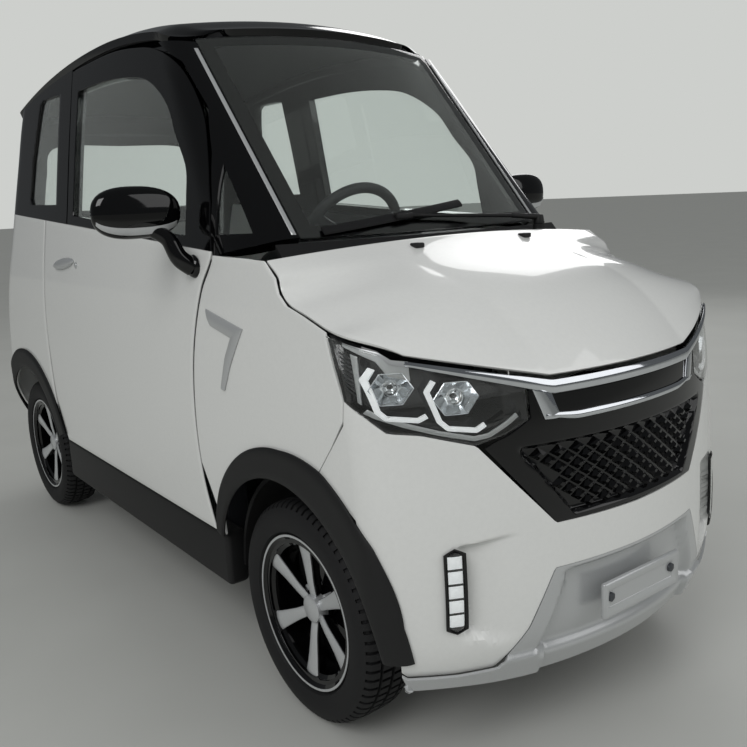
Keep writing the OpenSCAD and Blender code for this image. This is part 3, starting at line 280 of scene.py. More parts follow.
def laid(name, nu, nv, place, t=0, round_edge=1.5, closed=False, middle=(0, 0, 700)):
    """A grid of nu by nv faces, laid in space by place(u, v) in millimetres, t thick inwards."""
    clear()
    bpy.ops.mesh.primitive_grid_add(x_subdivisions=nu, y_subdivisions=nv, size=2)
    obj = bpy.context.object
    obj.name = name
    for v in obj.data.vertices:
        v.co = Vector(place((v.co.x + 1) / 2, (v.co.y + 1) / 2)) * MM
    if closed:
        edit_all(obj, weld)
    obj.data.update()
    turn_outwards(obj, Vector(middle) * MM)
    if t:
        modify(obj, "SOLIDIFY", thickness=t * MM, offset=-1, use_quality_normals=True)
    return edge(obj, round_edge) if round_edge else smooth(obj)


def copy_of(obj, name):
    new = obj.copy()
    new.data = obj.data.copy()
    new.name = name
    bpy.context.scene.collection.objects.link(new)
    return new


def mirrored(obj, name):
    """The same piece on the right-hand side."""
    new = copy_of(obj, name)
    new.data.transform(Matrix.Scale(-1, 4, (0, 1, 0)))
    new.data.flip_normals()
    return new


def joined(first, *others):
    pick(first)
    for o in others:
        o.select_set(True)
    bpy.ops.object.join()
    return first


def both(obj):
    return joined(obj, mirrored(obj, obj.name + "_r"))


def select_faces(obj, test):
    """Leaves obj in edit mode with only the faces selected that pass the test."""
    pick(obj)
    bpy.context.tool_settings.mesh_select_mode = (False, False, True)
    bpy.ops.object.mode_set(mode="EDIT")
    bpy.ops.mesh.select_all(action="DESELECT")
    bpy.ops.object.mode_set(mode="OBJECT")
    for f in obj.data.polygons:
        f.select = test(f)
    bpy.ops.object.mode_set(mode="EDIT")


def settle(obj):
    pick(obj)
    bpy.ops.object.transform_apply(location=True, rotation=True, scale=True)
    return obj


def cube(name, low, high, bevel=2, segments=2):
    clear()
    low, high = Vector(low) * MM, Vector(high) * MM
    bpy.ops.mesh.primitive_cube_add(size=1, location=(low + high) / 2, scale=high - low)
    obj = settle(bpy.context.object)
    obj.name = name
    return edge(obj, bevel, segments)


def rod(name, a, b, r, r2=None, sides=32, bevel=1):
    """A round bar from a to b, its second end of radius r2."""
    clear()
    a, b = Vector(a) * MM, Vector(b) * MM
    bpy.ops.mesh.primitive_cone_add(vertices=sides, radius1=r * MM, radius2=(r if r2 is None else r2) * MM,
                                    depth=(b - a).length, location=(a + b) / 2,
                                    rotation=(b - a).to_track_quat("Z", "Y").to_euler())
    obj = settle(bpy.context.object)
    obj.name = name
    return edge(obj, bevel) if bevel else smooth(obj)


def turned(name, profile, steps=96):
    """A shape turned about the Y axis from a closed profile of (radius, y) points."""
    clear()
    bpy.ops.mesh.primitive_circle_add(vertices=len(profile), radius=1)
    obj = bpy.context.object
    obj.name = name
    for v, (r, y) in zip(obj.data.vertices, profile):
        v.co = (r * MM, y * MM, 0)
    edit_all(obj, lambda: bpy.ops.mesh.spin(steps=steps, angle=2 * pi, center=(0, 0, 0), axis=(0, 1, 0)),
             lambda: weld(0.02), face_out)
    return smooth(obj)


def cut(obj, cutter):
    modify(obj, "BOOLEAN", operation="DIFFERENCE", solver="EXACT", object=cutter)
    bpy.data.objects.remove(cutter)
    return obj


def prism(name, outline, y0, y1):
    """An upright slab with this outline in side view, from y0 to y1."""
    clear()
    bpy.ops.mesh.primitive_circle_add(vertices=len(outline), radius=1, fill_type="NGON")
    obj = bpy.context.object
    obj.name = name
    for v, (x, z) in zip(obj.data.vertices, outline):
        v.co = (x * MM, y0 * MM, z * MM)
    edit_all(obj, lambda: bpy.ops.mesh.extrude_region_move(
        TRANSFORM_OT_translate={"value": (0, (y1 - y0) * MM, 0)}), face_out)
    return obj


def dress(obj, finish):
    obj.data.materials.clear()
    obj.data.materials.append(finish)
    return obj


def place_piece(obj, body, slot, finish, *replaced):
    if finish:
        dress(obj, finish)
    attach(obj, body)
    if replaced:
        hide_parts(*replaced)
    print(obj.name, "on", body, len(obj.data.polygons), "faces")
    return obj


def on_doors(obj, slot, finish, node=None):
    """A left-hand piece on its door, and its mirror image on the other door."""
    for side, ob in (("left", obj), ("right", mirrored(obj, obj.name.replace("left", "right")))):
        place_piece(ob, side + "_door", slot, finish, *([node + side] if node else []))


# %% [markdown]
# ## Finishes
# Each material starts from the real one: acrylic car paint with a clear coat, gloss-black ABS, grained polypropylene,
# chrome plate, cast alloy, rubber, polycarbonate and woven seat cloth. The small patterns are sized in millimetres.

# %% Material helpers


def linear(code):
    """A linear colour from an sRGB hex value."""
    parts = [int(code[i:i + 2], 16) / 255 for i in (1, 3, 5)]
    return tuple(c / 12.92 if c <= 0.04045 else ((c + 0.055) / 1.055) ** 2.4 for c in parts) + (1,)


def add_node(tree, kind, links=(), **settings):
    """Adds a node, sets its inputs or properties by name, and links (input, output socket) pairs."""
    node = tree.nodes.new(kind)
    for name, value in settings.items():
        name = name.replace("__", " ")
        if name in node.inputs:
            node.inputs[name].default_value = value
        else:
            setattr(node, name, value)
    for name, socket in links:
        tree.links.new(socket, node.inputs[name])
    return node


def material(name, code, **settings):
    m = bpy.data.materials.new(name)
    m.use_nodes = True
    shader = m.node_tree.nodes["Principled BSDF"]
    shader.inputs["Base Color"].default_value = linear(code)
    for key, value in settings.items():
        shader.inputs[key.replace("__", " ")].default_value = value
    return m, m.node_tree, shader


def grained(name, code, low, high, size_mm, bump_mm, strength, detail=2, **settings):
    """A material whose colour drifts between two values, with a fine relief, both from one noise of that size."""
    m, tree, shader = material(name, code, **settings)
    place = add_node(tree, "ShaderNodeTexCoord").outputs["Object"]
    noise = add_node(tree, "ShaderNodeTexNoise", [("Vector", place)], Scale=1 / (size_mm * MM), Detail=detail)
    mix = add_node(tree, "ShaderNodeMix", [("Factor", noise.outputs["Fac"])], data_type="RGBA")
    for socket in mix.inputs:
        if socket.type == "RGBA":
            socket.default_value = linear(low if socket.name == "A" else high)
    tree.links.new(next(o for o in mix.outputs if o.type == "RGBA"), shader.inputs["Base Color"])
    bump = add_node(tree, "ShaderNodeBump", [("Height", noise.outputs["Fac"])], Strength=strength,
                    Distance=bump_mm * MM)
    tree.links.new(bump.outputs["Normal"], shader.inputs["Normal"])
    return m


# %% [markdown]
# ### Opaque finishes
# Paint, moulded plastic and metal differ mostly in roughness, coat and grain. A picture of each could be wrapped
# round the parts, but one noise in object space needs no unwrapping and keeps its size on every part.

# %% Paint, plastics and metals
# Acrylic paint under a clear coat: a soft body colour with a sharp reflection, faintly rippled like orange peel
white_paint = grained("white_acrylic_paint", "#e4e5e3", "#e2e3e1", "#e8e9e7", 9, 0.05, 0.12,
                      Roughness=0.32, Coat__Weight=0.9, Coat__Roughness=0.04, IOR=1.5)
# Moulded ABS with a piano finish: nearly black, mirror-smooth
gloss_black = grained("gloss_black_abs", "#050506", "#040405", "#070708", 14, 0.04, 0.08,
                      Roughness=0.06, Coat__Weight=0.1, Coat__Roughness=0.03, IOR=1.48)
# Polypropylene from a grained mould: matt charcoal with a fine leather-like relief, drawn a little coarse to show
black_plastic = grained("grained_polypropylene", "#19191a", "#0f0f10", "#171718", 1.6, 0.25, 0.5, 3,
                        Roughness=0.56, IOR=1.49)
# Softer moulded plastic of the dashboard and the door trims
dark_plastic = grained("soft_moulded_plastic", "#2a2b2d", "#26272a", "#303134", 1.8, 0.3, 0.5, 3,
                       Roughness=0.62, IOR=1.48)
# Bright chrome plate on plastic
chrome = grained("chrome_plate", "#d6d9dd", "#d0d3d8", "#dcdfe2", 25, 0.03, 0.05, Metallic=1, Roughness=0.07)
# Silver metallic paint with fine flake
silver_paint = grained("silver_metallic_paint", "#c0c2c3", "#babcbd", "#c8cacb", 1.5, 0.05, 0.12, 3,
                       Metallic=0.4, Roughness=0.3, Coat__Weight=0.6, Coat__Roughness=0.08)
# Cast alloy, machined bright on its faces, with a fine grain
alloy = grained("machined_alloy", "#cfd1d2", "#c6c8ca", "#d8dadb", 2.2, 0.06, 0.2, 3,
                Metallic=0.6, Roughness=0.34)
# Vulcanised rubber, dull with a bloom
tyre_rubber = grained("tyre_rubber", "#1a1a1b", "#101011", "#18181a", 5, 0.3, 0.35, 4, Roughness=0.72, IOR=1.5)
# Painted frame steel, cast knuckles and the battery's case
frame_steel = grained("black_painted_steel", "#2b2d30", "#26282b", "#33353a", 6, 0.12, 0.3, 3,
                      Metallic=0.2, Roughness=0.5)
cast_steel = grained("cast_steel", "#5a5c60", "#4c4f53", "#66696d", 3.5, 0.3, 0.5, 3,
                     Metallic=0.8, Roughness=0.48)
battery_case = grained("battery_case_plastic", "#3a3d42", "#35383c", "#42454a", 3, 0.2, 0.4, 3, Roughness=0.5)

# %% [markdown]
# ### Clear finishes
# Panes and lamp covers let light through, so they use the shader's transmission. The reflectors behind the covers
# are metal foil. The frosted light guides get a faint painted glow, an emission that makes up for the light the covers
# keep out.

# %% Glass and lenses
# Safety glass: clear with a faint green-grey tint
glass = material("tinted_safety_glass", "#f2f7f5", Roughness=0.0, Transmission__Weight=1.0, IOR=1.45)[0]
# Polycarbonate lamp covers, bright reflector foil behind them and frosted light guides with a painted glow
clear_lens = material("clear_polycarbonate", "#fcfdfd", Roughness=0.0, Transmission__Weight=1.0, IOR=1.5)[0]
red_lens = grained("red_acrylic", "#8e0d12", "#7d0a0f", "#a01218", 6, 0.3, 0.4,
                   Roughness=0.12, Coat__Weight=0.6, Coat__Roughness=0.04)
foil = grained("reflector_foil", "#dfe2e5", "#d2d6da", "#e8ebee", 4, 0.2, 0.5, Metallic=1, Roughness=0.14)
# Frosted acrylic with a faint painted glow: the emission brightens the guides and cells, which are not lit lamps
acrylic_painted_glow = grained("frosted_acrylic_painted_glow", "#f4f6f6", "#eceeee", "#f7f8f8", 4, 0.05, 0.2,
                      Roughness=0.35, IOR=1.49, Emission__Color=linear("#f4f8fa"), Emission__Strength=0.35)

# %% [markdown]
# ### Cloth
# Seat cloth shows its threads. Two wave textures that cross make the weave, which is simpler than modelling
# threads.

# %% Seat cloth
# Woven polyester: two sets of threads a few millimetres apart, drawn coarse so that the weave shows
seat_cloth, tree, shader = material("woven_seat_cloth", "#3a3b3f", Roughness=0.88, Sheen__Weight=0.3,
                                    Sheen__Roughness=0.5)
place = add_node(tree, "ShaderNodeTexCoord").outputs["Object"]
thread_mm = 3.0
warp = add_node(tree, "ShaderNodeTexWave", [("Vector", place)], bands_direction="Y", Scale=1 / (thread_mm * MM) / 20,
                Distortion=1.0)
weft = add_node(tree, "ShaderNodeTexWave", [("Vector", place)], bands_direction="DIAGONAL",
                Scale=1 / (thread_mm * MM) / 20, Distortion=1.0)
weave = add_node(tree, "ShaderNodeMath", [(0, warp.outputs["Fac"]), (1, weft.outputs["Fac"])], operation="MULTIPLY")
ramp = add_node(tree, "ShaderNodeValToRGB", [("Fac", weave.outputs[0])])
ramp.color_ramp.elements[0].color, ramp.color_ramp.elements[1].color = linear("#2f3034"), linear("#47494e")
tree.links.new(ramp.outputs["Color"], shader.inputs["Base Color"])
bump = add_node(tree, "ShaderNodeBump", [("Height", weave.outputs[0])], Strength=0.4, Distance=0.5 * MM)
tree.links.new(bump.outputs["Normal"], shader.inputs["Normal"])
print(len(bpy.data.materials), "materials")

# %% [markdown]
# ## White body panels
# Doors, front wings, quarter panels, bonnet, tailgate and bumpers are thin skins. Their outlines are the same lines
# that the CAD panels use: the waist line, the door gaps, the wheel arches and the lamp edges.

# %% Shared lines, as (x, z) in side view
door_rear_x, frame_rear_x = x_ra + 315, x_ra + 545
roof_mid_x, roof_rear_x, roof_half, roof_t = x_fa - 1060, x_ra - 190, hw - 122, 36
hinge_face_x = x_fa - 450
# The roof falls forwards and rearwards from its highest point, each over its run, and to its sides
front_fall, front_run, rear_fall, rear_run, side_fall, side_run = 62, 560, 84, 860, 34, 400
DOOR_FRONT = [
    (sill_z - 60, x_fa - 325), (sill_z, x_fa - 333), (460, x_fa - 365), (580, x_fa - 377), (700, x_fa - 371),
    (825, x_fa - 349), (930, x_fa - 316), (belt_front_z, x_fa - 270), (1130, x_fa - 300), (1240, x_fa - 348)]


def arc_h(r, a):
    """Height of a circle of radius r at a from its middle."""
    return sqrt(max(r * r - a * a, 0))


def belt_z(x):
    front, rear = x_fa - 150, x_ra + 60
    return belt_front_z + (belt_rear_z - belt_front_z) * (front - x) / (front - rear)


def door_front(z):
    return level(DOOR_FRONT, z)[1]


def door_rear(z):
    return max(door_rear_x, x_ra + arc_h(arch_r + arch_trim_w + shut_gap, z - axle_z))


def roof_z(x, y):
    fall = front_fall * (max(x - roof_mid_x, 0) / front_run) ** 2
    fall += rear_fall * (max(roof_mid_x - x, 0) / rear_run) ** 2
    return roof_top - side_fall * (y / side_run) ** 2 - fall


def roof_under(x, y):
    return roof_z(x, y) - roof_t - 0.3


# %% [markdown]
# ### Doors
# A door is a pressed skin with a padded trim behind it. Laid between the shut lines, both keep an even gap to their
# neighbours without trimming. The left door is made once and mirrored.

# %% Doors


def door_place(u, v, d=0, front=None):
    zn = lerp(sill_z, belt_front_z, v)
    x = lerp(door_rear(zn), door_front(zn) - shut_gap if front is None else front, u)
    return side_point(LOWER, x, lerp(sill_z, belt_z(x), v), d)


door_skin = laid("door_skin_left", 72, 48, door_place, skin_t, 1.2)
door_trim = laid("door_trim_left", 24, 24, lambda u, v: door_place(u, v, skin_t + 0.2, hinge_face_x),
                 door_t - 6, 6)
on_doors(door_skin, "white_paint", white_paint, "door_")
on_doors(door_trim, "dark_plastic", dark_plastic)

# %% [markdown]
# ### Front wings
# The wing fills an odd outline between door, arch, bumper, lamp and bonnet. Four border lines are drawn and a patch
# fills them, which is easier to correct than a panel cut out by hand.

# %% Front wings
WING_LOW = [
    (x_fa - 292, sill_z), (x_fa - 284, 426), (x_fa - 245, 493), (x_fa - 176, 556), (x_fa - 82, 601), (x_fa + 28, 617),
    (x_fa + 110, 615), (x_fa + 147, 602)]
WING_TOP = [
    (door_front(belt_front_z), belt_front_z), (x_fa - 200, belt_front_z - 2), (x_fa - 120, belt_front_z - 3),
    (x_fa - 45, 1006), (x_fa + 2, 974), (x_fa + 18, 944), (x_fa + 50, 922), (x_fa + 110, 907), (x_fa + 188, 884)]
WING_FRONT = [(x_fa + 147, 602), (x_fa + 202, 668), (x_fa + 245, 727), (x_fa + 248, 765), (x_fa + 217, 825),
              (x_fa + 188, 884)]


def wing_rear(v):
    z = lerp(sill_z, belt_front_z, v)
    return Vector((lerp(WING_LOW[0][0], door_front(z), min(v * 4, 1)), z))


def wing_place(u, v):
    p = patch(lambda w: bend(WING_LOW, w), lambda w: straight(WING_TOP, w), wing_rear,
              lambda w: straight(WING_FRONT, w), u, v)
    return side_point(LOWER, p[0], p[1])


wings = both(laid("front_wings", 72, 48, wing_place, 6, 1.2))
place_piece(wings, "body", "white_paint", white_paint, "fenders")

# %% [markdown]
# ### Quarter panels
# The quarter panel runs from the door round the corner to the tailgate, over the rear arch. It is laid by the way
# round the tail, so its corner stays round.

# %% Quarter panels
quarter_low_z = 553
GATE_W = [(560, 380), (900, 402), (1060, 400), (1260, 384), (1415, 345)]


def gate_half(z):
    return level(GATE_W, z)[1]


def hatch_half(z):
    return gate_half(z) + shut_gap + 2


def quarter_place(u, v):
    z = lerp(quarter_low_z, belt_rear_z, v)
    # The arch and the waist line depend on x, which depends on the height, so the height is found in rounds
    for k in range(4):
        t = lerp(round_y(LOWER, -1, hatch_half(z), z), round_x(LOWER, -1, door_rear_x - shut_gap, z), u)
        x = around(LOWER, -1, t, z)[0]
        if k < 3:
            arch = axle_z + arc_h(arch_r + 8, min(abs(x - x_ra), arch_r - 20))
            z = lerp(max(arch, quarter_low_z + 0.3 if x < x_ra else 0), belt_z(x), v)
    return around(LOWER, -1, t, z)


quarters = both(laid("quarter_panels", 72, 40, quarter_place, 6, 1.2))
place_piece(quarters, "body", "white_paint", white_paint, "quarter_panels")

# %% [markdown]
# ### Bonnet
# The bonnet leaves the common skin: it is crowned, and it ends at the chrome bar. Its four edges are drawn, the
# inside blends them, and a crown is added that fades out towards the sides.

# %% Bonnet
bonnet_rear_x, bonnet_rear_z, bonnet_half, bonnet_crown, bonnet_t = screen_foot[0] + 62, 1030, 503, 56, 8
bonnet_bow, bonnet_droop = 5200, 24
# The chrome bar that the bonnet ends at is level in the middle and rises from bar_flat outwards
bar_half, bar_z, bar_h, bar_flat, bar_rise, bar_taper = 460, 779, 24, 210, 0.235, 0.06


def bar_top(y):
    return bar_z + bar_rise * max(abs(y) - bar_flat, 0)


def bar_low(y):
    return bar_top(y) - bar_h + bar_taper * max(abs(y) - bar_flat, 0)


def bonnet_rear(s):
    y = s * bonnet_half
    return Vector((bonnet_rear_x - y * y / bonnet_bow, y, bonnet_rear_z - bonnet_droop * s * s))


def bonnet_front(s):
    y = s * bar_half
    return Vector((nose_point(y, bar_top(y))[0] - 1, y, bar_top(y) + 2 + bonnet_t))


# Along the wing and over the lamp: x from the axle, height, rise above the skin and distance inside it
WING_EDGE = [(6, 974, 3, 8.5), (22, 944, 3, 8.5), (54, 922, 3, 8.5), (112, 907, 3, 8.5), (190, 884, 5, 8.5),
             (250, 866, 14, 4), (300, 851, 16, 4)]
BONNET_SIDE = [bonnet_rear(1)] + [
    Vector((x_fa + x, side_point(LOWER, x_fa + x, z)[1] - d, z + up)) for x, z, up, d in WING_EDGE] + [bonnet_front(1)]


def bonnet_place(u, v):
    s = lerp(-1, 1, u)
    side = bend(BONNET_SIDE, v)
    across = lerp(Vector((side[0], -side[1], side[2])), side, u)
    ends = lerp(bonnet_rear(s), bonnet_front(s), v)
    corner = lerp(lerp(bonnet_rear(-1), bonnet_rear(1), u), lerp(bonnet_front(-1), bonnet_front(1), u), v)
    near_side = abs(s) ** 3
    crown = bonnet_crown * (1 - near_side) * sin(pi * v ** 1.5)
    return ends + (across - corner) * near_side + Vector((0, 0, crown))


bonnet = laid("bonnet_skin", 96, 72, bonnet_place, bonnet_t - 2, 2.2, middle=(1050, 0, 600))
place_piece(bonnet, "bonnet", "white_paint", white_paint, "bonnet")

# %% [markdown]
# ### Tail
# The tail can't be seen in the photograph, so it is kept plain: a tailgate panel and a bumper, both on the skin.

# %% Tailgate and rear bumper
gate_low_z, gate_mid_z, gate_top_z, gate_t = 560, 1060, 1432, 30
gate_bow, gate_bow_y = 17, 330
rear_bumper_low_z = 230


def gate_top(y):
    return gate_top_z - gate_bow * (y / gate_bow_y) ** 2


def gate_place(u, v):
    z = lerp(gate_low_z, gate_mid_z - 0.3, v)
    return tail_point(lerp(-1, 1, u) * gate_half(z), z)


gate = laid("tailgate_skin", 72, 40, gate_place, gate_t - 4, 3)
place_piece(gate, "tailgate", "white_paint", white_paint, "tailgate")


def rear_bumper_place(u, v):
    z = lerp(rear_bumper_low_z, quarter_low_z, v)
    x = x_ra - max(arc_h(arch_r + 8, z - axle_z), 40)
    return around(LOWER, -1, lerp(-1, 1, u) * round_x(LOWER, -1, x, z), z)


rear_bumper = laid("rear_bumper_skin", 120, 30, rear_bumper_place, 8, 1.5)
place_piece(rear_bumper, "body", "white_paint", white_paint, "rear_bumper")

# %% [markdown]
# ## The nose
# The bumper wraps from arch to arch. On the photographed car a shallow pocket holds each upright lamp: the pocket's
# outer wall is a step and its floor runs out towards the middle, so the bumper's rule sets the skin in there.

# %% Front bumper and silver skid panel
bumper_end_x, lip_top_z, skid_top_z, skid_half = x_fa + 330, 244, 418, 220
grille_low_z, grille_low_half = 507, 216
pocket_deep, pocket_wall_y, pocket_run_y = 20, 398, 285
dish_deep, dish_low_z, dish_top_z, lip_out = 20, 232, 411, 12


def ny(y, z):
    """The skin's (way round, height) at a y, and below at an x."""
    return Vector((round_y(LOWER, 1, y, z), z))


def nx(x, z):
    return Vector((round_x(LOWER, 1, x, z), z))


BUMPER_END = [nx(bumper_end_x, lip_top_z + 4), nx(bumper_end_x - 2, 400), nx(x_fa + 275, 520), nx(x_fa + 150, 602),
              nx(x_fa + 205, 668), nx(x_fa + 248, 727), nx(x_fa + 251, 765)]
BUMPER_TOP = [nx(x_fa + 251, 765), ny(hw - 16, 738), ny(450, 704), ny(362, 676), ny(290, 590),
              ny(grille_low_half, grille_low_z), ny(110, grille_low_z - 2), ny(0, grille_low_z - 4)]
BUMPER_LOW = [nx(bumper_end_x, lip_top_z + 2), ny(hw - 60, lip_top_z - 8), ny(400, lip_top_z - 14),
              ny(330, lip_top_z - 12), ny(275, lip_top_z + 64), ny(skid_half, skid_top_z), ny(110, skid_top_z),
              ny(0, skid_top_z)]
SKID_LOW = [nx(bumper_end_x, 212), ny(hw - 60, 208), ny(400, 203), ny(330, 198), ny(275, 196), ny(skid_half, 195),
            ny(110, 195), ny(0, 195)]


def pair_place(u, v, low, high, ends, inset):
    """A rule for a panel across the whole nose, from the right-hand end to the left-hand one."""
    a, side = 1 - abs(2 * u - 1), -1 if u < 0.5 else 1
    p = patch(lambda w: straight(low, w), lambda w: straight(high, w), lambda w: straight(ends, w),
              lambda w: lerp(low[-1], high[-1], w), a, v)
    x, y, z = around(LOWER, 1, side * p[0], p[1])
    return around(LOWER, 1, side * p[0], p[1], inset(abs(y), z))


def lamp_pocket(y, z):
    top = lerp(508, 496, smooth_step(280, 400, y))
    low = lerp(290, 312, smooth_step(330, 400, y))
    inside = smooth_step(low, low + 14, z) * smooth_step(top, top - 12, z)
    wall = smooth_step(pocket_wall_y + 10, pocket_wall_y, y)
    return pocket_deep * inside * wall * smooth_step(pocket_run_y, pocket_wall_y, y)


def skid_dish(y, z):
    half = lerp(262, 205, smooth_step(230, 410, z))
    lip = lip_out * smooth_step(258, 246, z) * smooth_step(228, 240, y)
    upright = smooth_step(dish_low_z, dish_low_z + 30, z) * smooth_step(dish_top_z, dish_top_z - 13, z)
    return dish_deep * smooth_step(half, half - 26, y) * upright - lip


SKID_TOP = [p - Vector((0, 0.3)) for p in BUMPER_LOW]
bumper = laid("front_bumper_skin", 184, 60,
              lambda u, v: pair_place(u, v, BUMPER_LOW, BUMPER_TOP, BUMPER_END, lamp_pocket), 6, 1.2)
place_piece(bumper, "body", "white_paint", white_paint, "front_bumper")
skid = laid("skid_panel_skin", 176, 44,
            lambda u, v: pair_place(u, v, SKID_LOW, SKID_TOP, [SKID_LOW[0], SKID_TOP[0]], skid_dish), 6, 1.2)
place_piece(skid, "body", "silver_paint", silver_paint, "skid_panel")

# %% [markdown]
# ### Grille
# The grille is one moulded plate with a sunken field of small blunt studs in offset rows. The studs are four-sided
# cones, placed one by one and joined, because each has to face along the curve of the nose.

# %% Grille: a black frame with a sunken field of diamond studs
GRILLE = [(grille_low_z + 0.3, grille_low_half - 1), (562, 261), (617, 306), (671, 349), (688, 306), (711, 258),
          (bar_low(0) - 0.8, 258)]
MESH = [(520, 176), (560, 207), (610, 246), (652, 280)]
mesh_deep, nose_r = 13, 900
stud_y, stud_z, stud_low_z, stud_margin = 44, 15.5, 532, 16
stud_size = (13.5, 21, 12)


def grille_place(u, v):
    flat = lerp(GRILLE[0][0], GRILLE[-1][0], v)
    y = lerp(-1, 1, u) * lookup(GRILLE, flat)
    z = flat + (bar_low(y) - bar_low(0)) * smooth_step(690, GRILLE[-1][0], flat)
    deep = smooth_step(516, 526, z) * smooth_step(664, 654, z)
    half = lookup(MESH, z)
    return nose_point(y, z, mesh_deep * deep * smooth_step(half + 4, half - 6, abs(y)))


plate = laid("grille_plate", 108, 60, grille_place, 3, 0.8)
place_piece(plate, "body", "gloss_black", gloss_black, "grille_frame")


def stud_at(y, z):
    """A blunt four-sided stud that faces along the nose's radius."""
    clear()
    bpy.ops.mesh.primitive_cone_add(vertices=4, radius1=1, radius2=0.3, depth=1)
    stud = bpy.context.object
    turn = Matrix.Rotation(asin(y / nose_r), 4, "Z")
    forwards = Matrix(((0, 0, 1, 0), (0, 1, 0, 0), (-1, 0, 0, 0), (0, 0, 0, 1)))
    stud.data.transform(Matrix.Diagonal((MM, MM, MM, 1)) @ Matrix.Translation(nose_point(y, z, mesh_deep)) @ turn
                        @ forwards @ Matrix.Diagonal((*stud_size, 1)) @ Matrix.Translation((0, 0, 0.4)))
    return stud


places = [((k + (row % 2) / 2) * stud_y, stud_low_z + stud_z * row) for row in range(8) for k in range(-7, 8)]
mesh_field = joined(*(stud_at(y, z) for y, z in places if abs(y) <= lookup(MESH, z) - stud_margin))
mesh_field.name = "grille_studs"
mesh_field.data.update()
place_piece(mesh_field, "body", "gloss_black", gloss_black, "grille_mesh")

# %% [markdown]
# ### Chrome bars
# A plated bar runs along the bonnet's edge, and a lower one hangs from it on two posts. They are strips that bulge
# off the skin, so that each catches one long highlight.

# %% Chrome bar under the bonnet and the lower bar across the grille
lower_half, lower_z, lower_h = 229, 700, 14


def upper_bar_place(u, v):
    y = lerp(-bar_half, bar_half, u)
    return nose_point(y, lerp(bar_low(y), bar_top(y), v), -5 - 3 * sin(pi * v))


def lower_bar_place(u, v):
    y = lerp(-lower_half, lower_half, u)
    rise = smooth_step(150, lower_half, abs(y))
    low, high = lower_z + 10 * rise, lower_z + lower_h + 6 * rise
    return nose_point(y, lerp(low, high, v), -3 - 3 * sin(pi * v))


def post_place(u, v):
    p = lerp(straight([(252, 768), (214, 760)], u), straight([(231, 708), (196, 708)], u), v)
    return nose_point(p[0], p[1], -3 - 3 * sin(pi * u))


posts = both(laid("bar_posts", 8, 12, post_place, 6, 1.2))
bars = joined(laid("chrome_bar_set", 120, 8, upper_bar_place, 7, 1.2),
              laid("lower_bar", 96, 8, lower_bar_place, 7, 1.2), posts)
place_piece(bars, "body", "chrome_trim", chrome, "chrome_bars")

# %% [markdown]
# ## Headlamps
# A lamp is a clear cover over a dark bowl. In it sit two six-sided reflectors with frosted guides bent round them, a
# silver brow, a bright strip along the lower edge and ribs at the outer end. All of them follow the cover's own shape,
# so one rule places them by two shares: along the lamp from its outer end, and up from its lower edge.

# %% Lamp rule
LAMP_LOW = [p + Vector((0, 1.2)) for p in BUMPER_TOP[:4]] + [ny(310, 690), ny(262, 712)]
LAMP_TOP = [nx(x_fa + 192, 878), nx(x_fa + 300, 851)] + [
    ny(y, bar_low(y) - 1.6) for y in (bar_half, 400, 330, 262)]
bowl_deep, bowl_rim_deep, cup_rim_deep, cup_deep, strip_w = 40, 8, 7, 28, 9


def lamp_place(u, v, d=0):
    p = patch(lambda w: straight(LAMP_LOW, w), lambda w: straight(LAMP_TOP, w),
              lambda w: lerp(LAMP_LOW[0], LAMP_TOP[0], w), lambda w: lerp(LAMP_LOW[-1], LAMP_TOP[-1], w), u, v)
    return around(LOWER, 1, p[0], p[1], d)


def bowl_place(u, v):
    rim = max(abs(2 * u - 1), abs(2 * v - 1))
    return lamp_place(u, v, lerp(bowl_deep, bowl_rim_deep, smooth_step(0.8, 1.0, rim)))


def ribbon(name, points, width, d, t, nu=40):
    """A flat strip along points of (y, z) on the nose, set in by d and t thick."""
    def place(u, v):
        p = straight(points, u)
        ahead = straight(points, min(u + 0.01, 1)) - straight(points, max(u - 0.01, 0))
        across = Vector((-ahead[1], ahead[0])).normalized() * width * (v - 0.5)
        return nose_point(p[0] + across[0], p[1] + across[1], d)
    return laid(name, nu, 2, place, t, 0.6)


# %% [markdown]
# ### Bowl, cover and bright trim
# The bowl is the cover's own shape pushed inwards, but for its rim. The strips and the brow lie between the two.

# %% Bowl, cover and strips
bowl = both(laid("lamp_bowls", 40, 24, bowl_place, 4, 0))
place_piece(bowl, "body", "black_plastic", gloss_black, "headlamps")
cover = both(laid("lamp_covers", 60, 30, lamp_place, 2.5, 0.8))
strip = ribbon("lamp_low_strip", [(526, 750), (515, 742), (470, 722), (420, 704), (362, 688), (335, 691), (300, 709),
                                  (280, 722)], strip_w, 8, 4)


def outer_strip_place(u, v):
    return lamp_place(lerp(0.09, 0.122, v) + 0.03 * (1 - u), lerp(0.14, 0.86, u), 6)


def brow_place(u, v):
    return lamp_place(lerp(0.06, 0.42, u), lerp(lerp(0.99, 1.08, u), lerp(0.93, 0.80, u), v), 5)


outer_strip = laid("lamp_outer_strip", 24, 2, outer_strip_place, 4, 0.6)
brow = laid("lamp_brow", 30, 6, brow_place, 3, 0.8)
bright = both(joined(strip, outer_strip, brow))
bright.name = "lamp_bright_trim"
place_piece(bright, "body", "silver_paint", silver_paint)

# %% [markdown]
# ### Reflectors and guides
# Each reflector is a six-sided bowl of foil with a clear eye. Turning it on a lathe would make it round, so its rim
# runs along six straight lines instead. The guides are ribbons along a few points.

# %% Reflectors, their glass eyes and the bent guides
eyes, cups, guides, ribs = [], [], [], []


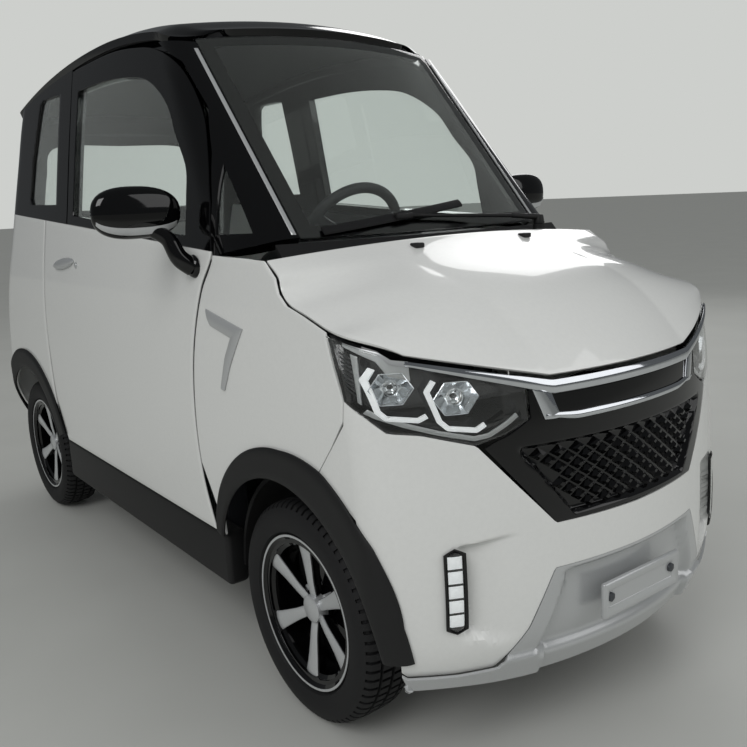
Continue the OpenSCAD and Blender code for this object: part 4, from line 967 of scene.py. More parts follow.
def reflector(y, z, size):
    """A six-sided bowl that opens towards the cover, and the clear eye in its middle."""
    middle = Vector(nose_point(y, z, cup_rim_deep))
    ahead = (middle - Vector(nose_point(y, z, bowl_deep))).normalized()
    side = Vector((0, 0, 1)).cross(ahead).normalized()
    up = ahead.cross(side)

    def place(u, v):
        k = int(u * 6) % 6
        a, b = ((cos((k + j) * pi / 3), 0.8 * sin((k + j) * pi / 3)) for j in (0, 1))
        r, t = lerp(0.15, 1, v), u * 6 - int(u * 6)
        rim = side * lerp(a[0], b[0], t) + up * lerp(a[1], b[1], t)
        return middle + rim * size * r - ahead * cup_deep * (1 - r * r)
    cups.append(laid("reflector", 24, 5, place, 1.5, 0, closed=True, middle=middle - ahead * 300))
    eyes.append(rod("lamp_eye", middle - ahead * 27, middle - ahead * 8, size * 0.26, size * 0.4, 12, 2))


reflector(486, 788, 40)
reflector(386, 764, 42)
GUIDES = {"light_guide_a": [(508, 826), (520, 806), (510, 750), (499, 738), (451, 731), (437, 738)],
          "light_guide_b": [(420, 798), (433, 780), (418, 726), (405, 712), (358, 704), (342, 713)]}
for name, points in GUIDES.items():
    guides.append(ribbon(name, points, strip_w, 4, 5, 60))
for k in range(9):
    v = 0.2 + 0.07 * k
    ribs.append(laid("lamp_rib", 6, 2, lambda a, b: lamp_place(lerp(0.02, 0.10, a), v + 0.03 * b, 9), 3, 0.6))
place_piece(both(joined(*cups)), "body", "chrome_trim", foil)
place_piece(both(joined(*eyes)), "body", "lamp_lens", clear_lens)
# The guides' finish carries a painted glow
place_piece(both(joined(*guides)), "body", "lamp_lens", acrylic_painted_glow)
place_piece(both(joined(*ribs)), "body", "black_plastic", dark_plastic)

# %% [markdown]
# ### Upright lamps
# Five small cells, brightened by a painted glow, sit behind one narrow cover in a black bezel. One rule for a pointed
# outline serves the bezel and the cover.

# %% Upright lamps in the bumper: five cells behind one narrow cover
upright_y, upright_z, cell_low_z, cell_step, cell_half = 412, 408, 350, 28.5, 12


def cell_place(u, v, z):
    bulge = (1 - (2 * u - 1) ** 2) * (1 - (2 * v - 1) ** 2)
    across, up = lerp(-cell_half, cell_half, u), lerp(-cell_half, cell_half, v)
    return nose_point(upright_y + across, z + up, -1.2 - 2.2 * bulge)


def upright_place(u, v, half_y, half_z, point, depth):
    """A tall six-sided outline whose upper and lower ends come to a blunt point."""
    reach = half_z - point * abs(2 * u - 1)
    return nose_point(upright_y + lerp(-half_y, half_y, u), upright_z + lerp(-reach, reach, v), depth)


def bezel_place(u, v):
    floor = smooth_step(0.08, 0.2, min(u, 1 - u)) * smooth_step(0.02, 0.05, min(v, 1 - v))
    return upright_place(u, v, 19, 84, 10, -6 + 5.2 * floor)


def upright_cover_place(u, v):
    return upright_place(u, v, 14, 78, 8, -4 - 3 * sin(pi * u))


cells = [laid("lamp_cell", 6, 6, lambda u, v: cell_place(u, v, cell_low_z + cell_step * k), 2, 0.5) for k in range(5)]
# The cells take the guides' finish, with its painted glow
place_piece(both(joined(*cells)), "body", "lamp_lens", acrylic_painted_glow)
place_piece(both(laid("upright_bezels", 10, 30, bezel_place, 2, 0.5)), "body", "gloss_black", gloss_black)
upright_cover = laid("upright_cover", 8, 30, upright_cover_place, 2, 0.8)
place_piece(joined(cover, both(upright_cover)), "body", "lamp_lens", clear_lens, "lamp_lenses")

# %% [markdown]
# ## The black cabin
# The roof, the pillars and the window frames are one gloss-black shell, with the panes set a little inside it.

# %% [markdown]
# ### Roof and headliner
# The roof is a thin crowned shell with round corners, which crowded grid lines at its ends keep smooth. The
# headliner is the same rule, lower and a little smaller.

# %% Roof
roof_corner, roof_run, roof_mid = 70, 750, (-300, 0, 900)
liner_deep, liner_t, shell_t = 23, 12.5, 20


def screen_line_x(y):
    """Where the roof ends over the windscreen."""
    return screen_top[0] - 4 - y * y / 2 / screen_r


def roof_place(u, v, inner=False):
    s, w = lerp(-1, 1, u), (1 - cos(pi * v)) / 2
    near = (1 - abs(cos(pi * v))) * roof_run
    half = roof_half - (roof_corner - arc_h(roof_corner, roof_corner - near) if near < roof_corner else 0)
    y = s * half
    x = lerp(roof_rear_x + 20 * s * s, screen_line_x(y), w)
    if inner:
        x, y = lerp(x, roof_mid[0], 0.012), y * 0.965
        return x, y, roof_z(x, y) - liner_deep
    shoulder = 12 * smooth_step(0.84, 1, abs(s)) + 16 * smooth_step(0.93, 1, w)
    return x, y, roof_z(x, y) - 0.3 - shoulder


roof = edge(laid("roof_shell", 80, 80, roof_place, shell_t, 0, middle=roof_mid), 7, 4, 50)
stud_foot = Vector((40, -95, roof_z(40, -95)))
stud = rod("roof_stud", stud_foot - Vector((0, 0, 4)), stud_foot + Vector((0, 0, 5)), 9, 6, 32, 2)
place_piece(joined(roof, stud), "body", "gloss_black", gloss_black, "roof")
headliner = laid("headliner", 48, 48, lambda u, v: roof_place(u, v, True), liner_t, 2, middle=roof_mid)
place_piece(headliner, "body", "dark_plastic", dark_plastic)

# %% [markdown]
# ### Pillars
# The pillars are thick panels on the skin. Their small windows are cut out with a boolean, since a hole in the
# middle of a grid is hard to lay out.

# %% Pillars and rear header
DOOR_TOP = [(x, min(z, roof_under(x, roof_half))) for x, z in (
    (x_fa - 348, 1240), (x_fa - 415, 1349), (x_fa - 525, 1466), (x_fa - 636, 1518), (x_fa - 775, 1546),
    (x_fa - 985, 1564), (frame_rear_x, 1564))]
PILLAR_BACK = [(belt_front_z, door_front(belt_front_z)), (1130, x_fa - 300)] + [(z, x) for x, z in DOOR_TOP[:3]] + [
    (DOOR_TOP[3][1] + 10, DOOR_TOP[3][0])]
QUARTER_PANE = [
    (frame_rear_x - 120, 1148), (x_ra + 290, 1150), (x_ra + 150, 1154), (x_ra + 128, 1175), (x_ra + 150, 1300),
    (x_ra + 190, 1430), (x_ra + 215, 1488), (x_ra + 240, 1500), (x_ra + 330, 1500), (frame_rear_x - 122, 1496),
    (frame_rear_x - 120, 1300)]
FRONT_LIGHT = [(x_fa - 262, 1056), (x_fa - 178, 1056), (x_fa - 312, 1212)]


def screen_edge_t(z):
    return round_y(UPPER, 1, screen_edge_y, z)


def front_pillar_place(u, v):
    z = lerp(lerp(belt_front_z, 1043, u), lerp(PILLAR_BACK[5][0], 1518, u), v)
    return around(UPPER, 1, lerp(round_x(UPPER, 1, lookup(PILLAR_BACK, z), z), screen_edge_t(z), u), z)


def rear_pillar_place(u, v):
    z = 1300
    for k in range(4):
        t = lerp(round_y(UPPER, -1, hatch_half(z), z), round_x(UPPER, -1, frame_rear_x - shut_gap, z), u)
        x = around(UPPER, -1, t, z)[0]
        if k < 3:
            z = lerp(belt_z(x) + 0.3, roof_under(max(x, roof_rear_x), roof_half) - 1, v)
    return around(UPPER, -1, t, z)


def header_place(u, v):
    y = lerp(-1, 1, u) * hatch_half(gate_top_z)
    z0 = gate_top(y) + 27
    return tail_point(y, lerp(z0, max(roof_under(roof_rear_x, y) + 13, z0 + 8), v))


def header_lip_place(u, v):
    y = lerp(-1, 1, u) * hatch_half(gate_top_z)
    return tail_point(y, gate_top(y) + lerp(-4, 46, v), 46)


def rail_place(u, v):
    """An inner rail that closes the slit between the headliner and a door's frame."""
    x = lerp(roof_rear_x + 90, x_fa - 520, u)
    return side_point(UPPER, x, roof_under(x, roof_half) + lerp(-26, 8, v), frame_t + 6)


frame_edge, cut_y = 2.5, (300, 600)
front_pillar = cut(laid("cabin_pillars", 24, 60, front_pillar_place, frame_t - 2, 0),
                   prism("light_cut", FRONT_LIGHT, *cut_y))
rear_pillar = cut(laid("rear_pillar", 48, 40, rear_pillar_place, frame_t - 2, 0),
                  prism("quarter_cut", QUARTER_PANE, *cut_y))
side_pieces = joined(edge(front_pillar, frame_edge), edge(rear_pillar, frame_edge),
                     laid("roof_rails", 40, 4, rail_place, 6, 1))
pillars = joined(both(side_pieces), laid("rear_header", 48, 8, header_place, panel_t - 2, 2),
                 laid("rear_header_lip", 48, 6, header_lip_place, 4, 1))
place_piece(pillars, "body", "gloss_black", gloss_black, "cabin_frame")

# %% [markdown]
# ### Window frames
# A window frame is a ring between two closed lines. Laid as a ring it needs no cut, and its bevel runs round
# evenly.

# %% Door frames and tailgate frame: rings between an outer and an inner line
frame_front_x = door_front(belt_front_z) - shut_gap
FRAME_OUT = [(x, belt_z(x)) for x in (frame_rear_x, x_fa - 860, frame_front_x)] + [(x_fa - 307, 1130)] + [
    (x - 5, z - shut_gap) for x, z in DOOR_TOP] + [(frame_rear_x, 1300)]
FRAME_IN = [
    (frame_rear_x + 55, belt_z(frame_rear_x) + 26), (x_fa - 860, belt_z(x_fa - 860) + 26),
    (x_fa - 420, belt_z(x_fa - 420) + 26), (x_fa - 426, 1140), (x_fa - 436, 1212), (x_fa - 500, 1288),
    (x_fa - 567, 1372), (x_fa - 686, 1440), (x_fa - 814, 1467), (x_fa - 1000, 1482), (frame_rear_x + 60, 1484),
    (frame_rear_x + 55, 1300)]
GATE_OUT = [(-gate_half(gate_mid_z), gate_mid_z), (0, gate_mid_z), (gate_half(gate_mid_z), gate_mid_z),
            (gate_half(1260), 1260), (gate_half(1415), gate_top(gate_half(1415))), (0, gate_top_z),
            (-gate_half(1415), gate_top(gate_half(1415))), (-gate_half(1260), 1260)]
GATE_IN = [(-340, 1130), (0, 1126), (340, 1130), (326, 1260), (285, 1380), (0, 1392), (-285, 1380), (-326, 1260)]


def loop_point(P, u, sharp):
    """A point of a closed line, curved but for the stretches that start at the sharp numbers."""
    n = len(P)
    k = u * n % n
    i, t = int(k), k - int(k)
    a, b, c, d = (Vector(P[(i + j) % n]) for j in (-1, 0, 1, 2))
    if i in sharp:
        return lerp(b, c, t)
    if (i - 1) % n in sharp:
        a = 2 * b - c
    if (i + 1) % n in sharp:
        d = 2 * c - b
    return cubic(a, b, c, d, t)


def ring(name, outer, inner, sharp, surface, nu, t):
    def place(u, v):
        return surface(*lerp(loop_point(outer, u, sharp), loop_point(inner, u, sharp), v))
    return edge(laid(name, nu, 4, place, t, 0, closed=True), frame_edge)


def on_upper(x, z, d=0):
    return side_point(UPPER, x, z, d)


DOOR_SHARP = (0, 1, 2, 10, 11)
GATE_SHARP = (0, 1, 7)
door_frame = ring("door_frame_left_shell", FRAME_OUT, FRAME_IN, DOOR_SHARP, on_upper, 120, frame_t - 2)
on_doors(door_frame, "gloss_black", gloss_black, "door_frame_")
gate_frame = ring("tailgate_frame_shell", GATE_OUT, GATE_IN, GATE_SHARP, tail_point, 96, gate_t - 4)
place_piece(gate_frame, "tailgate", "gloss_black", gloss_black, "tailgate_frame")

# %% [markdown]
# ### Hinge eyes
# The moving halves of the hinges sit on the pivots and go with their panels, as a short tube and a leaf.

# %% Hinge eyes of the tailgate and the bonnet, on their pivots
for body, x, y, z, r, wide in (("tailgate", -1184.2, 220, 1434.5, 8, 24), ("bonnet", 868, 140, 996, 10, 25)):
    eye = rod("hinge_eye", (x, y + 1, z), (x, y + wide - 1, z), r, None, 32, 1)
    leaf_top = z - 2 if body == "tailgate" else z + 20
    leaf = cube("hinge_leaf", (x - 6, y + 1, min(z - 12, leaf_top)), (x + 8, y + wide - 1, leaf_top), 1.5)
    pair = both(joined(eye, leaf))
    pair.name = body + "_hinge_eyes"
    place_piece(pair, body, "frame_steel", frame_steel)

# %% [markdown]
# ### Panes
# Each pane follows the skin of its frame, a few millimetres deeper. It is laid from its middle outwards, so any
# outline can be filled.

# %% Panes


def pane(name, outline, sharp, surface, middle, depth, nu=96):
    """Glass a little larger than its opening, so that its edge lies behind the frame."""
    grown = 1.012

    def place(u, v):
        return surface(*lerp(Vector(middle), loop_point(outline, u, sharp), grown * v), depth)
    return laid(name, nu, 10, place, 4, 0, closed=True)


door_pane = pane("door_pane_left", FRAME_IN, DOOR_SHARP, on_upper, (x_fa - 850, 1270), 9)
on_doors(door_pane, "glass", glass, "door_glass_")
quarter_pane = both(pane("quarter_panes", QUARTER_PANE, (0, 1, 8, 9, 10), on_upper, (x_ra + 250, 1320), 6))
light_pane = both(pane("front_lights", FRONT_LIGHT, (0, 1, 2), on_upper, (x_fa - 250, 1108), 4, 30))
place_piece(joined(quarter_pane, light_pane), "body", "glass", glass, "quarter_glass")
rear_pane = pane("rear_pane", GATE_IN, GATE_SHARP, tail_point, (0, 1260), 8)
place_piece(rear_pane, "tailgate", "glass", glass, "rear_glass")


screen_mid, screen_play = (0, 0, 1000), 0.002


def screen_place(u, v):
    s = lerp(-1, 1, u)
    y = s * (screen_edge_y - 1)
    z = lerp(screen_foot[1], roof_under(screen_line_x(y), y) - 0.3, v)
    return around(UPPER, 1, s * (screen_edge_t(z) - screen_play), z, 1)


screen = laid("windscreen_pane", 60, 48, screen_place, 5, 0.8, middle=screen_mid)
place_piece(screen, "body", "glass", glass, "windscreen")

# %% [markdown]
# ### Windscreen trim
# Windscreens have a black printed border that hides the glue, and here a bright moulding along each pillar.

# %% Screen border and its bright side mouldings


def border_place(u, v):
    """Once round the windscreen's edge, and a tenth of its size inwards."""
    k = u * 4 % 4
    side, t = int(k), k - int(k)
    s, w = ((lerp(-1, 1, t), 0), (1, t), (lerp(1, -1, t), 1), (-1, 1 - t))[side]
    s, w = s * lerp(1, 0.9, v), 0.5 + (w - 0.5) * lerp(1, 0.9, v)
    x, y, z = screen_place((s + 1) / 2, w)
    return around(UPPER, 1, s * (screen_edge_t(z) - screen_play), z, 6.6)


border = laid("screen_border", 96, 4, border_place, 1, 0, closed=True, middle=screen_mid)
place_piece(border, "body", "gloss_black", gloss_black)


moulding_z, moulding_t = (1050, 1500), (0.01, 0.036)


def moulding_place(u, v):
    z = lerp(*moulding_z, u)
    t = screen_edge_t(z) + lerp(*moulding_t, v)
    return around(UPPER, 1, t, z, -2.5 - 1.5 * sin(pi * v))


place_piece(both(laid("screen_mouldings", 60, 4, moulding_place, 2, 0.4)), "body", "silver_paint", silver_paint)

# %% [markdown]
# ## Trims
# Grained black trims widen the wheel arches, and sills close the lower sides. They stand off the paint by a
# centimetre with a rounded lip, so the arch rule bulges them across their width.

# %% Arch trims and sills


def trim_place(u, v, x, end, first, last, width):
    a = radians(lerp(first, last, u))
    r = arch_r + v * width(a)
    z = axle_z + r * sin(a)
    stand = 4 + 6 * min(sin(pi * min(max(v, 0), 1)) ** 0.5 + 0.25, 1)
    return around(LOWER, end, round_x(LOWER, end, x - r * cos(a), z), z, -stand)


# Width of a front trim as a share, at each angle from the rear over the top
TRIM_SHARE = [(18, 0.47), (38, 0.69), (57, 0.8), (78, 0.92), (92, 1), (114, 1.28), (140, 1.26), (152, 1), (164, 0.72),
              (176, 0.6)]
rear_room = x_ra - x_rear - 66


def front_width(a):
    return arch_trim_w * lookup(TRIM_SHARE, a / pi * 180)


def rear_width(a):
    return min(arch_trim_w, rear_room / max(cos(a), 0.1) - arch_r)


front_trim = laid("arch_trim_set", 90, 10, lambda u, v: trim_place(u, v, x_fa, 1, 18, 176, front_width), 6, 1.2,
                  middle=(x_fa, 0, axle_z))
rear_trim = laid("rear_trim", 90, 10, lambda u, v: trim_place(u, v, x_ra, -1, 4, 162, rear_width), 6, 1.2,
                 middle=(x_ra, 0, axle_z))
place_piece(both(joined(front_trim, rear_trim)), "body", "black_plastic", black_plastic, "arch_trims")
low, high = (Vector(c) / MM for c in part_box("side_sills"))
sill_inner_y = 462
sill = cube("sill_covers", (low[0], sill_inner_y, low[2]), high, 14, 4)
place_piece(both(sill), "body", "black_plastic", black_plastic, "side_sills")

# %% [markdown]
# ## Wing vents, mirrors and handles
# Behind each front wheel sits a bright trim bent like a seven. The mirrors are black shells on curved arms, with a
# silver strip below, and the door handles are small flaps with a round lock.

# %% Wing vents
VENT_OUTER = [(x_fa - 292, 893), (x_fa - 118, 862), (x_fa - 176, 775), (x_fa - 208, 716)]
VENT_INNER = [(x_fa - 268, 856), (x_fa - 172, 838), (x_fa - 200, 790), (x_fa - 226, 720)]


def vent_place(u, v):
    p = lerp(straight(VENT_OUTER, u), straight(VENT_INNER, u), v)
    return side_point(LOWER, p[0], p[1], -3 - 3 * sin(pi * v))


vents = both(laid("wing_vents", 42, 6, vent_place, 4, 0.8))
place_piece(vents, "body", "silver_paint", silver_paint, "fender_vents")

# %% [markdown]
# ### Mirrors
# The shell starts as a ball and is made fuller. The silver strip uses the same rule, so it lies on the shell.

# %% Mirrors
mirror_x, mirror_z, mirror_foot_z = x_fa - 395, 1112, 985
foot_y = half_w(mirror_foot_z) + 0.3
mirror_y, mirror_half_x, mirror_half_y, mirror_up, mirror_down = foot_y + 108, 31, 102, 63, 60
mirror_mid = (mirror_x, mirror_y, mirror_z)
arm_r = 18
clear()
bpy.ops.mesh.primitive_uv_sphere_add(segments=48, ring_count=24, radius=1)
shell = bpy.context.object
shell.name = "mirror_left_shell"


def mirror_skin(x, y, z, grow=0):
    """The shell's outside for a direction on a ball, fuller than an egg and flatter below."""
    full = [copysign(abs(c) ** 0.8, c) for c in (x, y, z)]
    taper = lerp(0.9, 1.0, (y + 1) / 2)
    half_z = mirror_up if z > 0 else mirror_down
    return Vector((mirror_x - 8 - 6 * y + (mirror_half_x + grow) * full[0] * taper,
                   mirror_y + (mirror_half_y + grow) * full[1], mirror_z + (half_z + grow) * full[2] * taper))


for v in shell.data.vertices:
    v.co = mirror_skin(*v.co) * MM
smooth(shell)
arm_line = [(mirror_x + 40, foot_y + 6, mirror_foot_z), (mirror_x + 34, foot_y + 34, mirror_foot_z + 22),
            (mirror_x + 18, foot_y + 50, mirror_z - 62), (mirror_x, foot_y + 78, mirror_z - 40)]


def arm_place(u, v):
    ahead = (bend(arm_line, min(u + 0.02, 1)) - bend(arm_line, max(u - 0.02, 0))).normalized()
    side = ahead.cross(Vector((1, 0, 0))).normalized()
    a = 2 * pi * v
    return bend(arm_line, u) + (side * cos(a) + ahead.cross(side) * sin(a)) * arm_r * lerp(1.3, 0.9, u)


arm = laid("mirror_arm", 24, 20, arm_place, 0, 0, closed=True, middle=arm_line[1])
foot = rod("mirror_foot", (mirror_x + 40, foot_y + 1, mirror_foot_z), (mirror_x + 40, foot_y + 13, mirror_foot_z),
           29, 22, 40, 3)
shell = joined(shell, arm, foot)


def mirror_strip_place(u, v):
    a, y = radians(lerp(38, 62, u)), lerp(-0.8, 0.93, v)
    e = sqrt(1 - y * y)
    return mirror_skin(e * sin(a), y, -e * cos(a), 1.5)


def mirror_glass_place(u, v):
    s = 2 * u - 1
    return (mirror_x - 32 - 4 * (1 - s ** 2), mirror_y + 86 * s, mirror_z + 46 * (2 * v - 1) * (1 - 0.35 * s ** 4))


mirror_strip = laid("mirror_strip_left", 8, 30, mirror_strip_place, 1.5, 0.4, middle=mirror_mid)
mirror_glass = laid("mirror_glass_left", 20, 10, mirror_glass_place, 2, 0.8, middle=mirror_mid)
on_doors(shell, "gloss_black", gloss_black, "mirror_")
on_doors(mirror_glass, "chrome_trim", foil)
on_doors(mirror_strip, "silver_paint", silver_paint)

# %% [markdown]
# ### Door handles
# The handle is a slim dome on the door's skin with a round lock ahead of it.

# %% Door handles
handle_x, handle_z, handle_half_x, handle_half_z, handle_rise, handle_out = x_ra + 530, 962, 96, 17, 10, 13


def handle_place(u, v):
    a = 2 * pi * u
    x, z = handle_x + handle_half_x * v * cos(a), handle_z + handle_half_z * v * sin(a) + handle_rise * v * cos(a)
    return side_point(LOWER, x, z, -2 - handle_out * sqrt(max(1 - v ** 2.5, 0)))


handle = laid("handle_left", 48, 14, handle_place, 3, 0, closed=True)
lock_at = Vector(side_point(LOWER, handle_x + 118, handle_z - 2))
lock = rod("lock", lock_at, lock_at + Vector((0, 4, 0)), 10, 9, 32, 1)
on_doors(joined(handle, lock), "chrome_trim", alloy, "door_hardware_")

# %% [markdown]
# ### Door hinges
# Two short tubes on the hinge line go with each door. Their fixed halves belong to the body.

# %% Door hinge eyes
hinge_at = Vector((x_fa - 430, hw - 12, 0))
eyes = []
for z in (530, 720):
    at = hinge_at + Vector((0, 0, z))
    eyes.append(rod("hinge_eye", at - Vector((0, 0, 10)), at + Vector((0, 0, 10)), 6.5, None, 24, 0.8))
    eyes.append(cube("hinge_leaf", at + Vector((-19, -6, -9)), at + Vector((0, 6, 9)), 1))
door_eyes = joined(*eyes)
door_eyes.name = "door_hinge_eyes_left"
on_doors(door_eyes, "frame_steel", cast_steel, "door_hardware_")

# %% [markdown]
# ## Wheels
# A tyre is a turned profile with three grooves round the tread. Pockets pressed into its shoulders give the blocks.
# The rim is black with six bright spokes that widen towards the lip, a round cap and four wheel nuts.

# %% Tyre, modelled once at the origin with its axis along Y and its outer face towards +Y
half = tyre_w / 2
side_wall = [(rim_r - 21, half - 17), (rim_r + 1, half - 15), (rim_r + 6, half - 5), (rim_r + 20, half - 1),
             (rim_r + 36, half), (tyre_r - 26, half - 2), (tyre_r - 14, half - 7), (tyre_r - 6, half - 14)]
groove_r = tyre_r - 8
tread = [(tyre_r - 2, half - 24), (tyre_r - 1, 33), (groove_r, 32), (groove_r, 27), (tyre_r - 0.5, 26), (tyre_r, 4),
         (groove_r, 3)]
outer = side_wall + tread
profile = outer + [(r, -y) for r, y in reversed(outer)]
# Faces round the tyre, faces from one tread block to the next, and the depth between blocks
steps, block_faces, block_deep = 210, 3, 5.5
tyre = turned("tyre_shape", profile, steps)


def between_blocks(f):
    c = f.center / MM
    k, r = int((atan2(c.z, c.x) + pi) / (2 * pi) * steps + 0.01), Vector((c.x, c.z)).length
    shoulder = 34 < abs(c.y) < half - 9 and r > tyre_r - 12
    rib = 6 < abs(c.y) < 25 and r > tyre_r - 3
    return (shoulder and k % block_faces == 0) or (rib and (k + (1 if c.y > 0 else 0)) % block_faces == 0)


select_faces(tyre, between_blocks)
bpy.ops.mesh.extrude_region_shrink_fatten(TRANSFORM_OT_shrink_fatten={"value": -block_deep * MM})
bpy.ops.object.mode_set(mode="OBJECT")
smooth(tyre, 28)

# %% [markdown]
# ### Rim
# The barrel, the dish and the bright lip are turned from profiles, as a lathe would cut them.

# %% Rim
lip = rim_r - 0.5
barrel = rim_r - 22
rim_half = tyre_w / 2 - 10
rim = turned("rim_shape", [
    (barrel - 9, -rim_half), (rim_r, -rim_half), (rim_r, 6 - rim_half), (barrel, 6 - rim_half), (barrel, rim_half - 6),
    (lip, rim_half - 6), (lip, rim_half), (lip - 4, rim_half + 1), (lip - 9, rim_half - 3),
    (barrel - 8, rim_half - 18)])
dish = turned("rim_dish", [(15, 4), (60, 2), (120, -6), (barrel - 6, -10), (barrel - 6, -16), (118, -12), (58, -4),
                           (15, -4)])
lip_ring = turned("rim_lip_ring", [(lip - 6, rim_half + 0.5), (lip - 1, rim_half + 0.8), (lip - 1, rim_half + 1.6),
                                   (lip - 6, rim_half + 1.4)])

# %% [markdown]
# ### Spokes
# One spoke is laid and turned round the axle six times. A thin bright face lies on a thicker black back, as on a
# painted wheel whose faces are machined.

# %% Spokes, cap and nuts
spoke_r, nut_circle = (30, rim_r - 14), 48
SPOKE_HALF = [(30, 12), (70, 13.5), (110, 17), (135, 20), (160, 25)]
SPOKE_OUT = [(30, 31), (60, 36), (110, 41), (160, 48)]


def spoke_place(u, v):
    r = lerp(*spoke_r, u)
    return lookup(SPOKE_HALF, r) * lerp(-1, 1, v), lookup(SPOKE_OUT, r) - 2.5 * (2 * v - 1) ** 2, r


def spoke_set(name, d, t, grow):
    """Six spokes, set back by d, t thick and grown in width."""
    one = laid(name, 18, 6, lambda u, v: Vector(spoke_place(u, 0.5 + (v - 0.5) * grow)) - Vector((0, d, 0)), t, 1.2,
               middle=(0, -200, 90))
    spokes = [one]
    for k in range(1, 6):
        other = copy_of(one, name + str(k))
        other.data.transform(Matrix.Rotation(k * pi / 3, 4, "Y"))
        spokes.append(other)
    return joined(*spokes)


spoke_faces = spoke_set("spoke_faces", 0, 2.5, 1)
spoke_backs = spoke_set("spoke_backs", 2.6, 22, 1.08)
hub = turned("hub_cap", [(0.5, 40), (24, 39), (30, 36), (32, 28), (32, 12), (0.5, 12)], 64)
nuts = [rod("wheel_nut", (x, 3, z), (x, 22, z), 9, 8, 6, 1.5) for x, z in (
    (nut_circle * cos(pi / 4 + k * pi / 2), nut_circle * sin(pi / 4 + k * pi / 2)) for k in range(4))]
bright_parts = joined(spoke_faces, hub, lip_ring, *nuts)
dark_parts = joined(rim, dish, spoke_backs)
dress(bright_parts, alloy)
dress(dark_parts, gloss_black)
dress(tyre, tyre_rubber)

# %% [markdown]
# ### Placing the wheels
# The finished wheel is copied to the four hubs, mirrored on the right, so that all wheels are the same.

# %% Four wheels
for end, x in (("front", x_fa), ("rear", x_ra)):
    for side, s in (("right", -1), ("left", 1)):
        where = Matrix.Translation(Vector((x, s * wheel_y, axle_z)) * MM)
        for shape, name, slot in ((tyre, "tyre", "tyre"), (dark_parts, "rim", "gloss_black"),
                                  (bright_parts, "wheel_face", "alloy")):
            new = (copy_of if s > 0 else mirrored)(shape, f"{name}_{end}_{side}_shell")
            new.data.transform(where)
            replaced = [] if shape is bright_parts else [f"{name}_{end}_{side}"]
            place_piece(new, f"{end}_{side}_wheel", slot, None, *replaced)
for shape in (tyre, dark_parts, bright_parts):
    bpy.data.objects.remove(shape)

# %% [markdown]
# ## Inside
# The driver sits in the middle, with a bench behind. The seats are padded: a plain block is remeshed, blown up a
# little by Blender's Cloth so that its sides pull in between the corners, and its seams are pressed in afterwards.

# %% Seats


def padded_seat(name, low, high, lean=0, pivot=None, seams=(), grow=0.018):
    """A cushion between two corners in millimetres, leaning back by an angle about its pivot."""
    inset, seam_half = 9, 16
    obj = cube(name, [a + inset for a in low], [b - inset for b in high], 34, 5)
    modify(obj, "REMESH", mode="VOXEL", voxel_size=6.5 * MM)
    start = [v.co.copy() for v in obj.data.vertices]
    cloth = obj.modifiers.new("Cloth", "CLOTH")
    cloth.settings.use_pressure = True
    cloth.settings.uniform_pressure_force = 4
    cloth.settings.effector_weights.gravity = 0
    cloth.settings.quality = 4
    for step in range(1, 16):
        bpy.context.scene.frame_set(step)
    pick(obj)
    bpy.ops.object.modifier_apply(modifier=cloth.name)
    bpy.context.scene.frame_set(1)
    for v, old in zip(obj.data.vertices, start):
        move = v.co - old
        if move.length > grow:
            v.co = old + move.normalized() * grow
    for v in obj.data.vertices:
        for axis, at, deep in seams:
            gap = abs(v.co[axis] / MM - at)
            if gap < seam_half and (v.normal.z > 0.5 or v.normal.x > 0.5):
                v.co -= v.normal * deep * MM * (1 - gap / seam_half) ** 2
    if lean:
        there = Matrix.Translation(Vector(pivot) * MM)
        obj.data.transform(there @ Matrix.Rotation(radians(lean), 4, "Y") @ there.inverted())
    smooth(obj, 60)
    return obj


seat_w, seat_z = 430, 560
seat = padded_seat("driver_cushion", (-205, -seat_w / 2, 445), (268, seat_w / 2, seat_z + 4),
                   seams=((1, -120, 9), (1, 120, 9), (0, 190, 8)))
back = padded_seat("driver_back", (-210, -seat_w / 2, seat_z - 40), (-125, seat_w / 2, seat_z + 395), -12,
                   (-210, 0, seat_z - 60), ((1, -120, 9), (1, 120, 9), (2, seat_z + 250, 8)))
bench_x, bench_half = x_ra + 300, 330
bench = padded_seat("bench_cushion", (bench_x - 345, -bench_half, 405), (bench_x - 2, bench_half, seat_z + 4),
                    seams=((1, -110, 9), (1, 110, 9), (0, bench_x - 60, 8)))
bench_back = padded_seat("bench_back", (bench_x - 350, -bench_half, seat_z - 40),
                         (bench_x - 275, bench_half, seat_z + 350), -10, (bench_x - 350, 0, seat_z - 60),
                         ((1, -110, 9), (1, 110, 9), (2, seat_z + 220, 8)))
for cushion, node in ((seat, "driver_seat"), (back, "driver_seat"), (bench, "rear_bench"), (bench_back, "rear_bench")):
    place_piece(cushion, "body", "seat_cloth", seat_cloth, node)

# %% [markdown]
# ### Dashboard
# The dashboard is a moulding with one side profile, so it is a prism with round edges and a hood on top.

# %% Dashboard
dash_x, shelf_z, dash_half, hood_half = x_fa - 240, 900, 335, 120


def from_dash(*points):
    return [(dash_x + x, shelf_z + z) for x, z in points]


DASH = from_dash((-2, -48), (-108, -58), (-158, 0), (-138, 93), (-60, 123), (70, 123), (108, 80), (108, 1), (-2, 1))
HOOD = from_dash((-150, 92), (-40, 124), (-62, 150), (-128, 152))
dash = edge(prism("dashboard_shell", DASH, 2 - dash_half, dash_half - 2), 12, 4)
hood = edge(prism("instrument_hood", HOOD, -hood_half, hood_half), 8, 3)
steer_at, tilt = Vector((x_fa - 455, 0, 1010)), 62
axis = Vector((-sin(radians(tilt)), 0, cos(radians(tilt))))
column = rod("column", steer_at - axis * 150, steer_at - axis * 30, 30, 26, 32, 4)
place_piece(joined(dash, hood, column), "body", "dark_plastic", dark_plastic, "dashboard")
display = cube("display", (dash_x - 150, -78, shelf_z + 98), (dash_x - 146, 78, shelf_z + 142), 1.5)
place_piece(display, "body", "gloss_black", gloss_black)

# %% [markdown]
# ### Steering wheel
# A torus makes the ring. Three arms and a pad fill it, and one matrix sets it on the column, which keeps its axis
# true when it turns.

